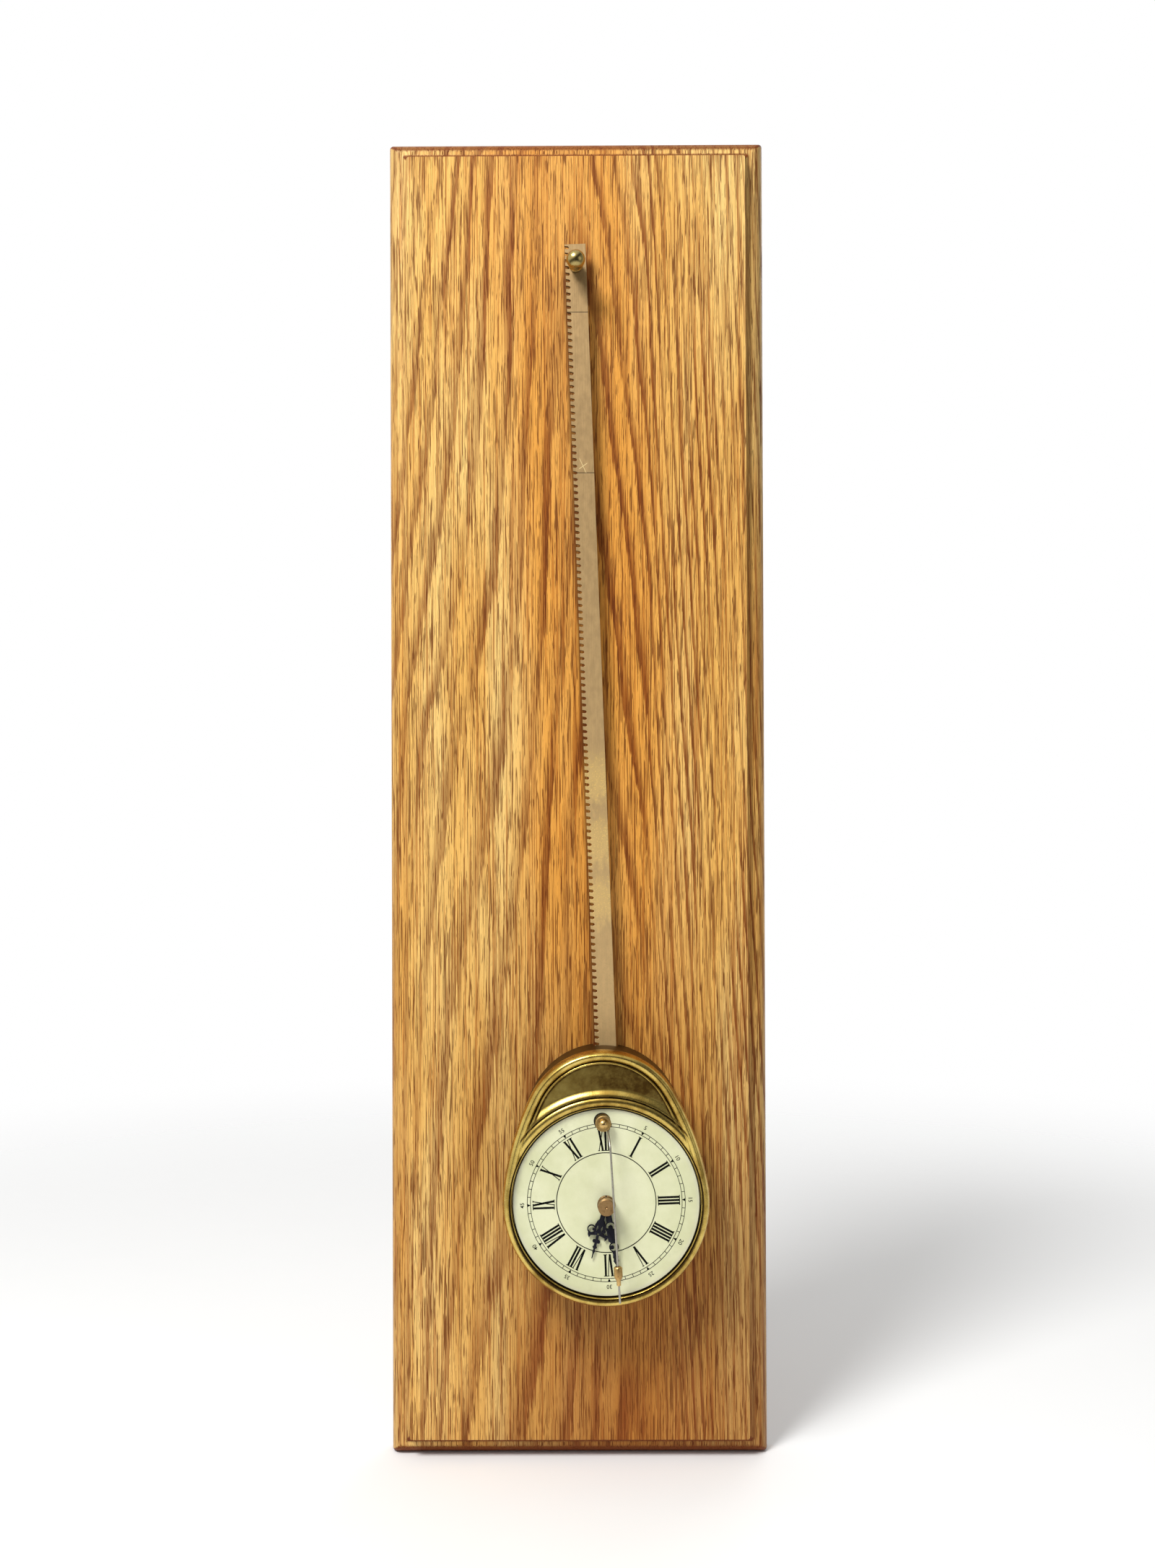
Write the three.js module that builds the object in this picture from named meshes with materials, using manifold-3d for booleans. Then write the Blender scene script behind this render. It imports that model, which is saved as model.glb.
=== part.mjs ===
// A gravity clock: a brass clock that climbs down a toothed rack by its own weight, on an oak board.
// Millimetres, +Z up, +X to the right, -Y towards the viewer. The origin is the centre of the board's back.
// A depth is a distance forward from the board's back, so a piece at depth d stands at y = -d.
import * as THREE from "three";
import { mergeVertices } from "three/addons/utils/BufferGeometryUtils.js";
import Module from "manifold-3d";

const wasm = await Module();
wasm.setup();

// Driving dimensions
const gap = 0.3; // between pieces that touch
const overrun = 1; // how far a cutter runs past what it cuts
const halfTurn = Math.PI;
const fullTurn = 2 * Math.PI;
const degree = Math.PI / 180;

const board = {
  width: 184,
  height: 643.5,
  thickness: 19,
  cornerRadius: 1.4,
  cornerSteps: 3,
  lipDrop: 0.9, // small square step round the face
  coveWidth: 3.4,
  coveDrop: 4.9,
  fillet: 0.7, // flat between cove and round
  roundWidth: 5.3,
  roundDrop: 7.7,
  curveSteps: 4,
};

const hanger = {
  width: 44,
  height: 16,
  thickness: 1.6,
  belowTop: 37,
  headRadius: 4.6,
  slotRadius: 2.3,
  slotRise: 9,
  pocketWidth: 26,
  pocketDepth: 10,
  screwSpacing: 32,
  screwRadius: 1.4,
  screwHeadRadius: 2.6,
  screwLength: 11,
};

const post = {
  belowTop: 66.75,
  radius: 2.2,
  embedded: 11,
  sleeveRadius: 4.2,
  ballRadius: 4.5,
  ballDepth: 39,
  neckRadius: 2.9,
  collarRadius: 3.8,
  collarLength: 1.8,
};

const rack = {
  tilt: 2 * degree,
  width: 10.2,
  thickness: 2,
  backDepth: 25,
  above: 11.4, // from the post up to the rack's top end
  below: 480.5, // from the post down to its lower end
  pitch: 3.2,
  toothDepth: 2.3,
  toothLand: 1.1,
  stopBelow: 470,
  stopHeadRadius: 2.4,
  stopHeadThickness: 1.3,
  stopShankRadius: 1.1,
};
rack.frontDepth = rack.backDepth + rack.thickness;

const clock = {
  left: 2.65, // dial centre, left of the rack's middle line
  below: 445.5, // dial centre, below the post
};

const shell = {
  lowerRadius: 48.6,
  sideRadius: 135,
  topRadius: 38,
  topReach: 71.5, // dial centre to the top of the outline
  wall: 2.2,
  draft: 0.8,
  backDepth: 20.5,
  shoulderDepth: 45.2,
  crestDepth: 50.5,
  crestInset: 2.5,
  footInset: 5.2,
  fieldDepth: 49,
  cavityDepth: 46.6,
  openingRadius: 44.4,
  panelInset: 7.1,
  panelRadius: 49.3,
  panelRecess: 0.8,
  notchMargin: 0.9,
  bossRadius: 3.6,
  bossInset: 5.4, // boss centre inside the lower arc
  arcSteps: 40,
  curveSteps: 3,
};

const cover = { thickness: 1.4 };

const dial = {
  radius: 44,
  thickness: 0.8,
  backDepth: 45.8,
  holeRadius: 3.4,
  footRadius: 1.1,
  footPlace: 30,
  footAngles: [45 * degree, 165 * degree, 285 * degree],
};

const plates = {
  backDepth: 29,
  thickness: 1.6,
  spacing: 10.4, // clear distance between the two plates
  backRadius: 40,
  frontRadius: 44.6,
  tongueRadius: 5,
  lugWidth: 6,
  lugHeight: 4,
};
plates.innerBack = plates.backDepth + plates.thickness;
plates.innerFront = plates.innerBack + plates.spacing;
plates.frontDepth = plates.innerFront + plates.thickness;

const pillars = {
  place: 36.5,
  angles: [30 * degree, 140 * degree, 200 * degree, 300 * degree],
  radius: 2.6,
  spigotRadius: 2,
  screwRadius: 1,
  screwLength: 5,
  headRadius: 2.1,
  headThickness: 1,
  slotWidth: 0.5,
};

const caseScrews = { angles: [-15 * degree, 195 * degree, 270 * degree], headRadius: 1.9 };

const pivotRadius = 0.6;
const arborRadius = 0.9;
const wheelThickness = 1.2;
const wheelArms = 4;

const rackWheel = {
  teeth: 20,
  thickness: 3.2,
  tipRise: 0.5, // beyond the pitch circle
  rootDrop: 1.6,
  tipWidth: 0.2,
  rootWidth: 1.3,
  workingGap: 0.4,
  rackTipReach: 0.8, // rack teeth reach this far inside the pitch circle
  arborRadius: 1.5,
  hubRadius: 3.4,
};
rackWheel.pitchRadius = (rackWheel.teeth * rack.pitch) / fullTurn;

const rollers = { radius: 3, studRadius: 1.2, headRadius: 2.2, heights: [20, -30], headThickness: 0.7 };

// Going train: each wheel turns the next pinion six times as fast.
const train = {
  great: { teeth: 36, leaves: 6, module: 1, depth: 31.2 },
  centre: { teeth: 36, leaves: 6, module: 0.8, depth: 38 },
  third: { teeth: 36, leaves: 6, module: 0.73, depth: 34.2 },
  fourth: { teeth: 36, leaves: 6, module: 0.67, depth: 36 },
  thirdAngle: 22 * degree,
};

const tooth = { addendumShare: 0.9, dedendumShare: 1.3, baseShare: 0.76 };
const leaf = { addendumShare: 0.7, dedendumShare: 1.3, thicknessShare: 0.36, tipShare: 0.5 };

const ratchet = { teeth: 16, tipRadius: 6.2, toothDepth: 0.8, depth: 33, thickness: 1.2 };

const click = {
  pivotPlace: 10.8,
  bossRadius: 1.7,
  screwRadius: 0.7,
  noseAngle: 38 * degree,
  noseWidth: 0.9,
  springWidth: 0.5,
  springReach: 2.6,
  springFootRadius: 1.2,
};

const escape = {
  teeth: 30,
  tipRadius: 7,
  toothDepth: 1.3,
  depth: 38.2,
  thickness: 0.8,
  belowPallets: 11.2,
};

const pallets = {
  height: 37.8, // pallet arbor above the dial centre
  hubRadius: 2.3,
  armWidth: 1.8,
  noseAngle: 46 * degree,
  noseGap: 1.5, // lets both noses pass over the wheel through the whole swing
  noseWidth: 1.1,
  depth: 37.9,
  thickness: 1.4,
};

const pendulum = {
  lean: 3.2 * degree, // from the clock's upright, caught in its swing
  flangeRadius: 3.7,
  flangeDepth: 50,
  flangeThickness: 1.6,
  domeRadius: 2.5,
  domeRise: 2.6,
  wireRadius: 0.5,
  wireDepth: 58.5,
  bendDrop: 11.5,
  bendAside: 2.2,
  length: 83.3,
  bobShare: 0.8, // down the straight part of the wire
  bobRadius: 2,
  bobHeight: 6.1,
  bobShoulder: 0.7,
  bobTaper: 1.9,
  neckRadius: 1,
  neckHeight: 2.8,
};

const motionWork = {
  cannon: { leaves: 8, module: 0.75 },
  minute: { teeth: 24, leaves: 8, module: 0.6 },
  hour: { teeth: 32 },
  minuteAngle: 135 * degree,
  lowerDepth: 43,
  upperDepth: 44.3,
  thickness: 0.95,
  cannonPipe: 1.7,
  hourPipe: 2.5,
  studRadius: 1,
};
motionWork.distance = ((motionWork.cannon.leaves + motionWork.minute.teeth) * motionWork.cannon.module) / 2;

const hands = {
  hourAngle: 197 * degree,
  minuteAngle: 172.2 * degree,
  thickness: 0.6,
  hourDepth: 47.4,
  minuteDepth: 48.7,
  hourLength: 26.6,
  minuteLength: 34.5,
};

const knob = {
  collarRadius: 4.25,
  collarThickness: 1.9,
  radius: 3.9,
  length: 4.6,
  slitWidth: 0.6,
  dimpleRadius: 0.5,
};

const facets = { fastener: 6, small: 8, medium: 12, round: 16, large: 40 };

// Materials
const finish = (color, roughness, metalness) =>
  new THREE.MeshStandardMaterial({ color, roughness, metalness });
const oak = finish(0xb87a3c, 0.45, 0);
const caseBrass = finish(0xb29a4a, 0.28, 1);
const movementBrass = finish(0xc2a55a, 0.35, 1);
const rackBrass = finish(0xa08a5c, 0.6, 0.8);
const steel = finish(0x8c8c8a, 0.35, 1);
const enamel = finish(0xe2e4ba, 0.5, 0);
const blackSteel = finish(0x15151a, 0.5, 0.5);

// Solids
function toManifold(geometry) {
  const bare = geometry.index ? geometry.clone() : mergeVertices(geometry, 1e-5);
  bare.deleteAttribute("normal");
  bare.deleteAttribute("uv");
  const merged = mergeVertices(bare, 1e-5);
  return new wasm.Manifold(
    new wasm.Mesh({
      numProp: 3,
      vertProperties: merged.attributes.position.array,
      triVerts: new Uint32Array(merged.index.array),
    }),
  );
}

function toGeometry(solid) {
  const mesh = solid.getMesh();
  const geometry = new THREE.BufferGeometry();
  geometry.setAttribute("position", new THREE.BufferAttribute(new Float32Array(mesh.vertProperties), 3));
  geometry.setIndex(new THREE.BufferAttribute(new Uint32Array(mesh.triVerts), 1));
  return geometry;
}

const join = (first, ...others) =>
  toGeometry(others.reduce((sum, other) => sum.add(toManifold(other)), toManifold(first)));

const cut = (body, ...tools) =>
  toGeometry(tools.reduce((rest, tool) => rest.subtract(toManifold(tool)), toManifold(body)));

// Turns every face round when the faces of a closed geometry point inwards.
function facingOut(geometry) {
  const indexed = geometry.index ? geometry : mergeVertices(geometry, 1e-5);
  const place = indexed.attributes.position;
  const corners = indexed.index.array;
  const [a, b, c] = [new THREE.Vector3(), new THREE.Vector3(), new THREE.Vector3()];
  let volume = 0;
  for (let i = 0; i < corners.length; i += 3) {
    a.fromBufferAttribute(place, corners[i]);
    b.fromBufferAttribute(place, corners[i + 1]);
    c.fromBufferAttribute(place, corners[i + 2]);
    volume += a.dot(b.cross(c));
  }
  if (volume < 0) {
    for (let i = 0; i < corners.length; i += 3) {
      [corners[i + 1], corners[i + 2]] = [corners[i + 2], corners[i + 1]];
    }
  }
  return indexed;
}

const polar = (radius, angle) => new THREE.Vector2(radius * Math.cos(angle), radius * Math.sin(angle));

function circle(radius, count, centre = new THREE.Vector2()) {
  return Array.from({ length: count }, (_, i) => polar(radius, (i * fullTurn) / count).add(centre));
}

// A flat piece: its outline lies in the front view, and it fills the depths from back to front.
function plate(outline, holes, back, front) {
  const shape = new THREE.Shape(outline);
  shape.holes = holes.map((points) => new THREE.Path(points));
  const geometry = new THREE.ExtrudeGeometry(shape, { depth: front - back, bevelEnabled: false, steps: 1 });
  return geometry.rotateX(halfTurn / 2).translate(0, -back, 0);
}

// A turned piece on an axis that runs forward: the profile is a list of [radius, depth].
function turned(profile, count) {
  const points = profile.map(([radius, depth]) => new THREE.Vector2(radius, -depth));
  return facingOut(new THREE.LatheGeometry(points, count));
}

const rod = (radius, back, front, count) =>
  turned([[0, back], [radius, back], [radius, front], [0, front]], count);

const sleeve = (inner, outer, back, front, count) =>
  turned([[inner, back], [outer, back], [outer, front], [inner, front], [inner, back]], count);

const block = (width, height, back, front, x, z) =>
  new THREE.BoxGeometry(width, front - back, height).translate(x, -(back + front) / 2, z);

const moved = (geometry, x, z) => geometry.translate(x, 0, z);

// A closed skin through rings of points that all have the same count, with a flat cap on each end.
function loft(rings) {
  const count = rings[0].length;
  const positions = rings.flat().flatMap((point) => [point.x, point.y, point.z]);
  const faces = [];
  for (let ring = 0; ring + 1 < rings.length; ring += 1) {
    for (let i = 0; i < count; i += 1) {
      const next = (i + 1) % count;
      const [low, high] = [ring * count, (ring + 1) * count];
      faces.push(low + i, low + next, high + next, low + i, high + next, high + i);
    }
  }
  [rings[0], rings[rings.length - 1]].forEach((ring, end) => {
    const middle = ring.reduce((sum, point) => sum.add(point), new THREE.Vector3()).divideScalar(count);
    const base = end * (rings.length - 1) * count;
    positions.push(middle.x, middle.y, middle.z);
    const hub = positions.length / 3 - 1;
    for (let i = 0; i < count; i += 1) {
      const [from, to] = end ? [i, (i + 1) % count] : [(i + 1) % count, i];
      faces.push(hub, base + from, base + to);
    }
  });
  const geometry = new THREE.BufferGeometry();
  geometry.setAttribute("position", new THREE.Float32BufferAttribute(positions, 3));
  geometry.setIndex(faces);
  return facingOut(geometry);
}

const atDepth = (points, depth) => points.map((point) => new THREE.Vector3(point.x, -depth, point.y));

// A wheel's outline with pointed teeth; one tooth points along the angle zero.
function wheelTeeth(teeth, module) {
  const tip = (teeth * module) / 2 + tooth.addendumShare * module;
  const root = (teeth * module) / 2 - tooth.dedendumShare * module;
  const half = (tooth.baseShare * halfTurn) / teeth;
  return Array.from({ length: teeth }, (_, i) => {
    const middle = (i * fullTurn) / teeth;
    return [polar(root, middle - half), polar(tip, middle), polar(root, middle + half)];
  }).flat();
}

// A pinion's outline with blunt leaves; one leaf points along the angle zero.
function pinionLeaves(leaves, module) {
  const tip = (leaves * module) / 2 + leaf.addendumShare * module;
  const root = (leaves * module) / 2 - leaf.dedendumShare * module;
  const half = (leaf.thicknessShare * halfTurn) / leaves;
  return Array.from({ length: leaves }, (_, i) => {
    const middle = (i * fullTurn) / leaves;
    return [
      polar(root, middle - half),
      polar(tip, middle - half * leaf.tipShare),
      polar(tip, middle + half * leaf.tipShare),
      polar(root, middle + half),
    ];
  }).flat();
}

// Windows between the arms of a wheel.
function crossings(count, inner, outer, armWidth) {
  return Array.from({ length: count }, (_, i) => {
    const [from, to] = [(i * fullTurn) / count, ((i + 1) * fullTurn) / count];
    const [innerHalf, outerHalf] = [armWidth / inner / 2, armWidth / outer / 2];
    return [
      polar(inner, from + innerHalf),
      polar(outer, from + outerHalf),
      polar(outer, (from + to) / 2),
      polar(outer, to - outerHalf),
      polar(inner, to - innerHalf),
    ];
  });
}

// Turns the driven gear so that one of its gaps faces a tooth of the gear that it meets.
function meshTurn(direction, driverTurn, driverTeeth, drivenTeeth) {
  const step = fullTurn / driverTeeth;
  const offset = driverTurn - direction - step * Math.round((driverTurn - direction) / step);
  return direction + halfTurn - (offset * driverTeeth) / drivenTeeth + halfTurn / drivenTeeth;
}

const heading = (from, to) => Math.atan2(to.y - from.y, to.x - from.x);

// The point at given distances from two others, on the right of the way from the first to the second.
function meeting(first, reach, second, otherReach) {
  const apart = first.distanceTo(second);
  const along = (reach ** 2 - otherReach ** 2 + apart ** 2) / (2 * apart);
  const aside = Math.sqrt(reach ** 2 - along ** 2);
  const way = second.clone().sub(first).normalize();
  return new THREE.Vector2(
    first.x + way.x * along + way.y * aside,
    first.y + way.y * along - way.x * aside,
  );
}

function addPiece(group, name, geometry, material, place = new THREE.Vector2(), turn = 0) {
  const mesh = new THREE.Mesh(geometry, material);
  mesh.name = name;
  mesh.position.set(place.x, 0, place.y);
  mesh.rotation.y = -turn;
  group.add(mesh);
  return mesh;
}

// Backboard
function roundedRectangle(halfWidth, halfHeight, radius, steps) {
  const corners = [[1, 1], [-1, 1], [-1, -1], [1, -1]];
  return corners.flatMap(([sideX, sideY], corner) =>
    Array.from({ length: steps + 1 }, (_, i) => {
      const angle = ((corner + i / steps) * halfTurn) / 2;
      return new THREE.Vector2(sideX * (halfWidth - radius), sideY * (halfHeight - radius)).add(
        polar(radius, angle),
      );
    }),
  );
}

// The moulded edge, from the face outwards: a small step, a cove, a flat and a round.
function mouldingProfile() {
  const points = [[0, 0], [0, board.lipDrop]];
  for (let i = 1; i <= board.curveSteps; i += 1) {
    const angle = ((i / board.curveSteps) * halfTurn) / 2;
    points.push([
      board.coveWidth * (1 - Math.cos(angle)),
      board.lipDrop + board.coveDrop * Math.sin(angle),
    ]);
  }
  const [innerWidth, innerDrop] = [board.coveWidth + board.fillet, board.lipDrop + board.coveDrop];
  for (let i = 0; i <= board.curveSteps; i += 1) {
    const angle = ((i / board.curveSteps) * halfTurn) / 2;
    points.push([
      innerWidth + board.roundWidth * Math.sin(angle),
      innerDrop + board.roundDrop * (1 - Math.cos(angle)),
    ]);
  }
  return points;
}

const hangerHeight = board.height / 2 - hanger.belowTop;
const pinHeight = board.height / 2 - post.belowTop;

function hangerScrewPlaces() {
  return [-1, 1].map((side) => new THREE.Vector2((side * hanger.screwSpacing) / 2, hangerHeight));
}

function makeBoard(group) {
  const profile = mouldingProfile();
  const [reach] = profile[profile.length - 1];
  const ringAt = (inset, depth) =>
    atDepth(
      roundedRectangle(board.width / 2 - inset, board.height / 2 - inset, board.cornerRadius, board.cornerSteps),
      depth,
    );
  const rings = [ringAt(0, 0)];
  profile.toReversed().forEach(([out, drop]) => rings.push(ringAt(reach - out, board.thickness - drop)));
  const recessDepth = hanger.thickness + 2 * gap;
  const recess = block(hanger.width + 2 * gap, hanger.height + 2 * gap, -overrun, recessDepth, 0, hangerHeight);
  const pocket = block(
    hanger.pocketWidth,
    hanger.height - 2 * gap,
    -overrun,
    hanger.pocketDepth,
    0,
    hangerHeight,
  );
  const screwHoles = hangerScrewPlaces().map((place) =>
    moved(rod(hanger.screwRadius + gap, 0, hanger.screwLength + gap, facets.small), place.x, place.y),
  );
  const postHole = moved(
    rod(post.radius + gap, board.thickness - post.embedded - gap, board.thickness + overrun, facets.medium),
    0,
    pinHeight,
  );
  addPiece(group, "backboard", cut(loft(rings), recess, pocket, ...screwHoles, postHole), oak);
}

function makeHanger(group) {
  const back = gap;
  const front = gap + hanger.thickness;
  const sheet = block(hanger.width, hanger.height, back, front, 0, 0);
  const drop = -hanger.height / 2 + hanger.headRadius + 2 * hanger.thickness;
  const head = moved(rod(hanger.headRadius, back - overrun, front + overrun, facets.medium), 0, drop);
  const slot = moved(
    rod(hanger.slotRadius, back - overrun, front + overrun, facets.medium),
    0,
    drop + hanger.slotRise - hanger.headRadius,
  );
  const throat = block(
    2 * hanger.slotRadius,
    hanger.slotRise - hanger.headRadius,
    back - overrun,
    front + overrun,
    0,
    drop + (hanger.slotRise - hanger.headRadius) / 2,
  );
  const countersinks = hangerScrewPlaces().map((place) =>
    moved(
      turned(
        [
          [0, back - overrun],
          [hanger.screwHeadRadius + gap, back - overrun],
          [hanger.screwHeadRadius + gap, back],
          [hanger.screwRadius + gap, front],
          [hanger.screwRadius + gap, front + overrun],
          [0, front + overrun],
        ],
        facets.medium,
      ),
      place.x,
      0,
    ),
  );
  const geometry = cut(sheet, head, slot, throat, ...countersinks);
  addPiece(group, "hanger_plate", geometry, steel, new THREE.Vector2(0, hangerHeight));
  hangerScrewPlaces().forEach((place, i) => {
    const screw = turned(
      [
        [0, back],
        [hanger.screwHeadRadius, back],
        [hanger.screwRadius, front],
        [hanger.screwRadius, hanger.screwLength - hanger.screwRadius],
        [0, hanger.screwLength],
      ],
      facets.fastener,
    );
    addPiece(group, `hanger_screw_${i + 1}`, screw, steel, place);
  });
}

// Post that carries the rack, with its distance sleeve and its ball
function makePost(group) {
  const place = new THREE.Vector2(0, pinHeight);
  const back = board.thickness - post.embedded;
  addPiece(group, "rack_post", rod(post.radius, back, post.ballDepth, facets.medium), steel, place);
  addPiece(
    group,
    "post_sleeve",
    sleeve(post.radius + gap, post.sleeveRadius, board.thickness + gap, rack.backDepth - gap, facets.medium),
    rackBrass,
    place,
  );
  const collarBack = rack.frontDepth + gap;
  const ballBack = post.ballDepth - Math.sqrt(post.ballRadius ** 2 - post.neckRadius ** 2);
  const startAngle = Math.asin(post.neckRadius / post.ballRadius);
  const ball = Array.from({ length: facets.small + 1 }, (_, i) => {
    const angle = startAngle + ((halfTurn - startAngle) * i) / facets.small;
    return [post.ballRadius * Math.sin(angle), post.ballDepth - post.ballRadius * Math.cos(angle)];
  });
  ball[ball.length - 1][0] = 0;
  const bore = post.radius + gap;
  const profile = [
    [0, post.ballDepth + gap],
    [bore, post.ballDepth + gap],
    [bore, collarBack],
    [post.collarRadius, collarBack],
    [post.collarRadius, collarBack + post.collarLength],
    [post.neckRadius, collarBack + 2 * post.collarLength],
    [post.neckRadius, ballBack],
    ...ball.slice(1),
  ];
  addPiece(group, "post_ball", turned(profile, facets.round), rackBrass, place);
}

// Rack: in the hanging frame the origin is on the post's axis
function rackOutline() {
  const right = rack.width / 2;
  const tip = -rack.width / 2;
  const root = tip + rack.toothDepth;
  const count = Math.floor((rack.above + rack.below) / rack.pitch);
  const points = [new THREE.Vector2(right, rack.above), new THREE.Vector2(root, rack.above)];
  for (let i = 1; i <= count; i += 1) {
    const top = rack.above - i * rack.pitch;
    if (top - rack.toothLand > -rack.below) {
      points.push(
        new THREE.Vector2(root, top),
        new THREE.Vector2(tip, top),
        new THREE.Vector2(tip, top - rack.toothLand),
      );
    }
  }
  points.push(new THREE.Vector2(root, -rack.below), new THREE.Vector2(right, -rack.below));
  return points;
}

const stopAside = rack.toothDepth / 2;

function makeRack(group) {
  const bars = plate(
    rackOutline(),
    [
      circle(post.radius + gap, facets.medium),
      circle(rack.stopShankRadius + gap, facets.small, new THREE.Vector2(stopAside, -rack.stopBelow)),
    ],
    rack.backDepth,
    rack.frontDepth,
  );
  addPiece(group, "rack", bars, rackBrass);
  const headBack = rack.frontDepth + gap;
  const stop = turned(
    [
      [0, rack.backDepth + gap],
      [rack.stopShankRadius, rack.backDepth + gap],
      [rack.stopShankRadius, headBack],
      [rack.stopHeadRadius, headBack],
      [rack.stopHeadRadius, headBack + rack.stopHeadThickness],
      [0, headBack + rack.stopHeadThickness],
    ],
    facets.medium,
  );
  addPiece(group, "rack_stop_screw", stop, steel, new THREE.Vector2(stopAside, -rack.stopBelow));
}

// Case: three arcs make the teardrop; an inset draws all of it inwards alike
function caseOutline(inset) {
  const lower = shell.lowerRadius - inset;
  const side = shell.sideRadius - inset;
  const top = shell.topRadius - inset;
  const topCentre = shell.topReach - shell.topRadius;
  const [near, far] = [shell.sideRadius - shell.lowerRadius, shell.sideRadius - shell.topRadius];
  const rise = (near ** 2 - far ** 2 + topCentre ** 2) / (2 * topCentre);
  const back = Math.sqrt(near ** 2 - rise ** 2);
  const lowerEnd = Math.atan2(-rise, back);
  const sideEnd = Math.atan2(topCentre - rise, back);
  const half = [];
  const add = (centreX, centreY, radius, from, to, steps, first) => {
    for (let i = first; i <= steps; i += 1) {
      half.push(polar(radius, from + ((to - from) * i) / steps).add(new THREE.Vector2(centreX, centreY)));
    }
  };
  const quarter = halfTurn / 2;
  const steps = shell.arcSteps / 4;
  add(0, 0, lower, -quarter, lowerEnd, steps, 0);
  add(-back, rise, side, lowerEnd, sideEnd, steps / 2, 1);
  add(0, topCentre, top, sideEnd, quarter, steps / 2, 1);
  const mirrored = half.slice(1, -1).reverse().map((point) => new THREE.Vector2(-point.x, point.y));
  return [...half, ...mirrored];
}

const caseScrewPlaces = caseScrews.angles.map((angle) => polar(shell.lowerRadius - shell.bossInset, angle));
const pillarPlaces = pillars.angles.map((angle) => polar(pillars.place, angle));

function caseSkin() {
  const rings = [atDepth(caseOutline(shell.draft), shell.backDepth)];
  for (let i = 0; i <= shell.curveSteps; i += 1) {
    const angle = ((i / shell.curveSteps) * halfTurn) / 2;
    rings.push(
      atDepth(
        caseOutline(shell.crestInset * (1 - Math.cos(angle))),
        shell.shoulderDepth + (shell.crestDepth - shell.shoulderDepth) * Math.sin(angle),
      ),
    );
  }
  for (let i = 1; i <= shell.curveSteps; i += 1) {
    const angle = ((i / shell.curveSteps) * halfTurn) / 2;
    rings.push(
      atDepth(
        caseOutline(shell.crestInset + (shell.footInset - shell.crestInset) * Math.sin(angle)),
        shell.fieldDepth + (shell.crestDepth - shell.fieldDepth) * Math.cos(angle),
      ),
    );
  }
  return loft(rings);
}

function makeCase(group) {
  const innerBack = shell.draft + shell.wall;
  const cavity = loft([
    atDepth(caseOutline(innerBack), shell.backDepth - overrun),
    atDepth(caseOutline(shell.wall), shell.shoulderDepth),
    atDepth(caseOutline(shell.wall), shell.cavityDepth),
  ]);
  const opening = rod(shell.openingRadius, shell.shoulderDepth, shell.crestDepth + overrun, facets.large);
  const panel = cut(
    loft([
      atDepth(caseOutline(shell.panelInset), shell.fieldDepth - shell.panelRecess),
      atDepth(caseOutline(shell.panelInset), shell.crestDepth + overrun),
    ]),
    rod(shell.panelRadius, shell.cavityDepth, shell.crestDepth + 2 * overrun, facets.large),
  );
  const notchFront = rack.frontDepth + gap + rack.stopHeadThickness + 2 * gap;
  const notch = (z) =>
    block(
      rack.width + 2 * shell.notchMargin,
      shell.topReach,
      shell.backDepth - overrun,
      notchFront,
      clock.left,
      z,
    );
  const bosses = caseScrewPlaces.map((place) =>
    moved(
      rod(shell.bossRadius, plates.frontDepth + gap, dial.backDepth - 2 * gap, facets.medium),
      place.x,
      place.y,
    ),
  );
  const bores = caseScrewPlaces.map((place) =>
    moved(
      rod(pillars.screwRadius + gap, plates.innerFront, dial.backDepth - gap - pillars.screwRadius, facets.small),
      place.x,
      place.y,
    ),
  );
  const hollow = cut(caseSkin(), cavity, opening, panel, notch(shell.topReach), notch(-shell.topReach));
  addPiece(group, "case_body", cut(join(hollow, ...bosses), ...bores), caseBrass);
}

function coverScrewCone(radiusGap, back, front) {
  return [
    [0, back],
    [pillars.headRadius + radiusGap, back],
    [pillars.screwRadius + radiusGap, front],
  ];
}

function makeRearCover(group) {
  const back = shell.backDepth + gap;
  const front = back + cover.thickness;
  const outline = caseOutline(shell.draft + shell.wall + gap);
  const countersinks = pillarPlaces.map((place) =>
    moved(
      turned(
        [
          [0, back - overrun],
          [pillars.headRadius + gap, back - overrun],
          [pillars.headRadius + gap, back],
          [pillars.screwRadius + gap, front],
          [pillars.screwRadius + gap, front + overrun],
          [0, front + overrun],
        ],
        facets.medium,
      ),
      place.x,
      place.y,
    ),
  );
  addPiece(group, "rear_cover", cut(plate(outline, [], back, front), ...countersinks), caseBrass);
  pillarPlaces.forEach((place, i) => {
    const screw = turned(
      [
        ...coverScrewCone(0, back, front),
        [pillars.screwRadius, front + pillars.screwLength],
        [0, front + pillars.screwLength],
      ],
      facets.fastener,
    );
    addPiece(group, `cover_screw_${i + 1}`, screw, steel, place);
  });
}

// Movement layout, in the clock frame: x to the right and y up from the dial centre
const wheelRadius = (stage) => (stage.teeth * stage.module) / 2;
const reachOf = (stage) => ((stage.teeth + stage.leaves) * stage.module) / 2;
const centreAt = new THREE.Vector2();
const rackTipX = clock.left - rack.width / 2;
const driveX = rackTipX + rackWheel.rackTipReach - rackWheel.pitchRadius;
const driveAt = new THREE.Vector2(driveX, -Math.sqrt(reachOf(train.great) ** 2 - driveX ** 2));
const thirdAt = polar(reachOf(train.centre), train.thirdAngle);
const palletAt = new THREE.Vector2(0, pallets.height);
const escapeAt = new THREE.Vector2(0, pallets.height - escape.belowPallets);
const fourthAt = meeting(thirdAt, reachOf(train.third), escapeAt, reachOf(train.fourth));
const minuteAt = polar(motionWork.distance, motionWork.minuteAngle);
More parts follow.
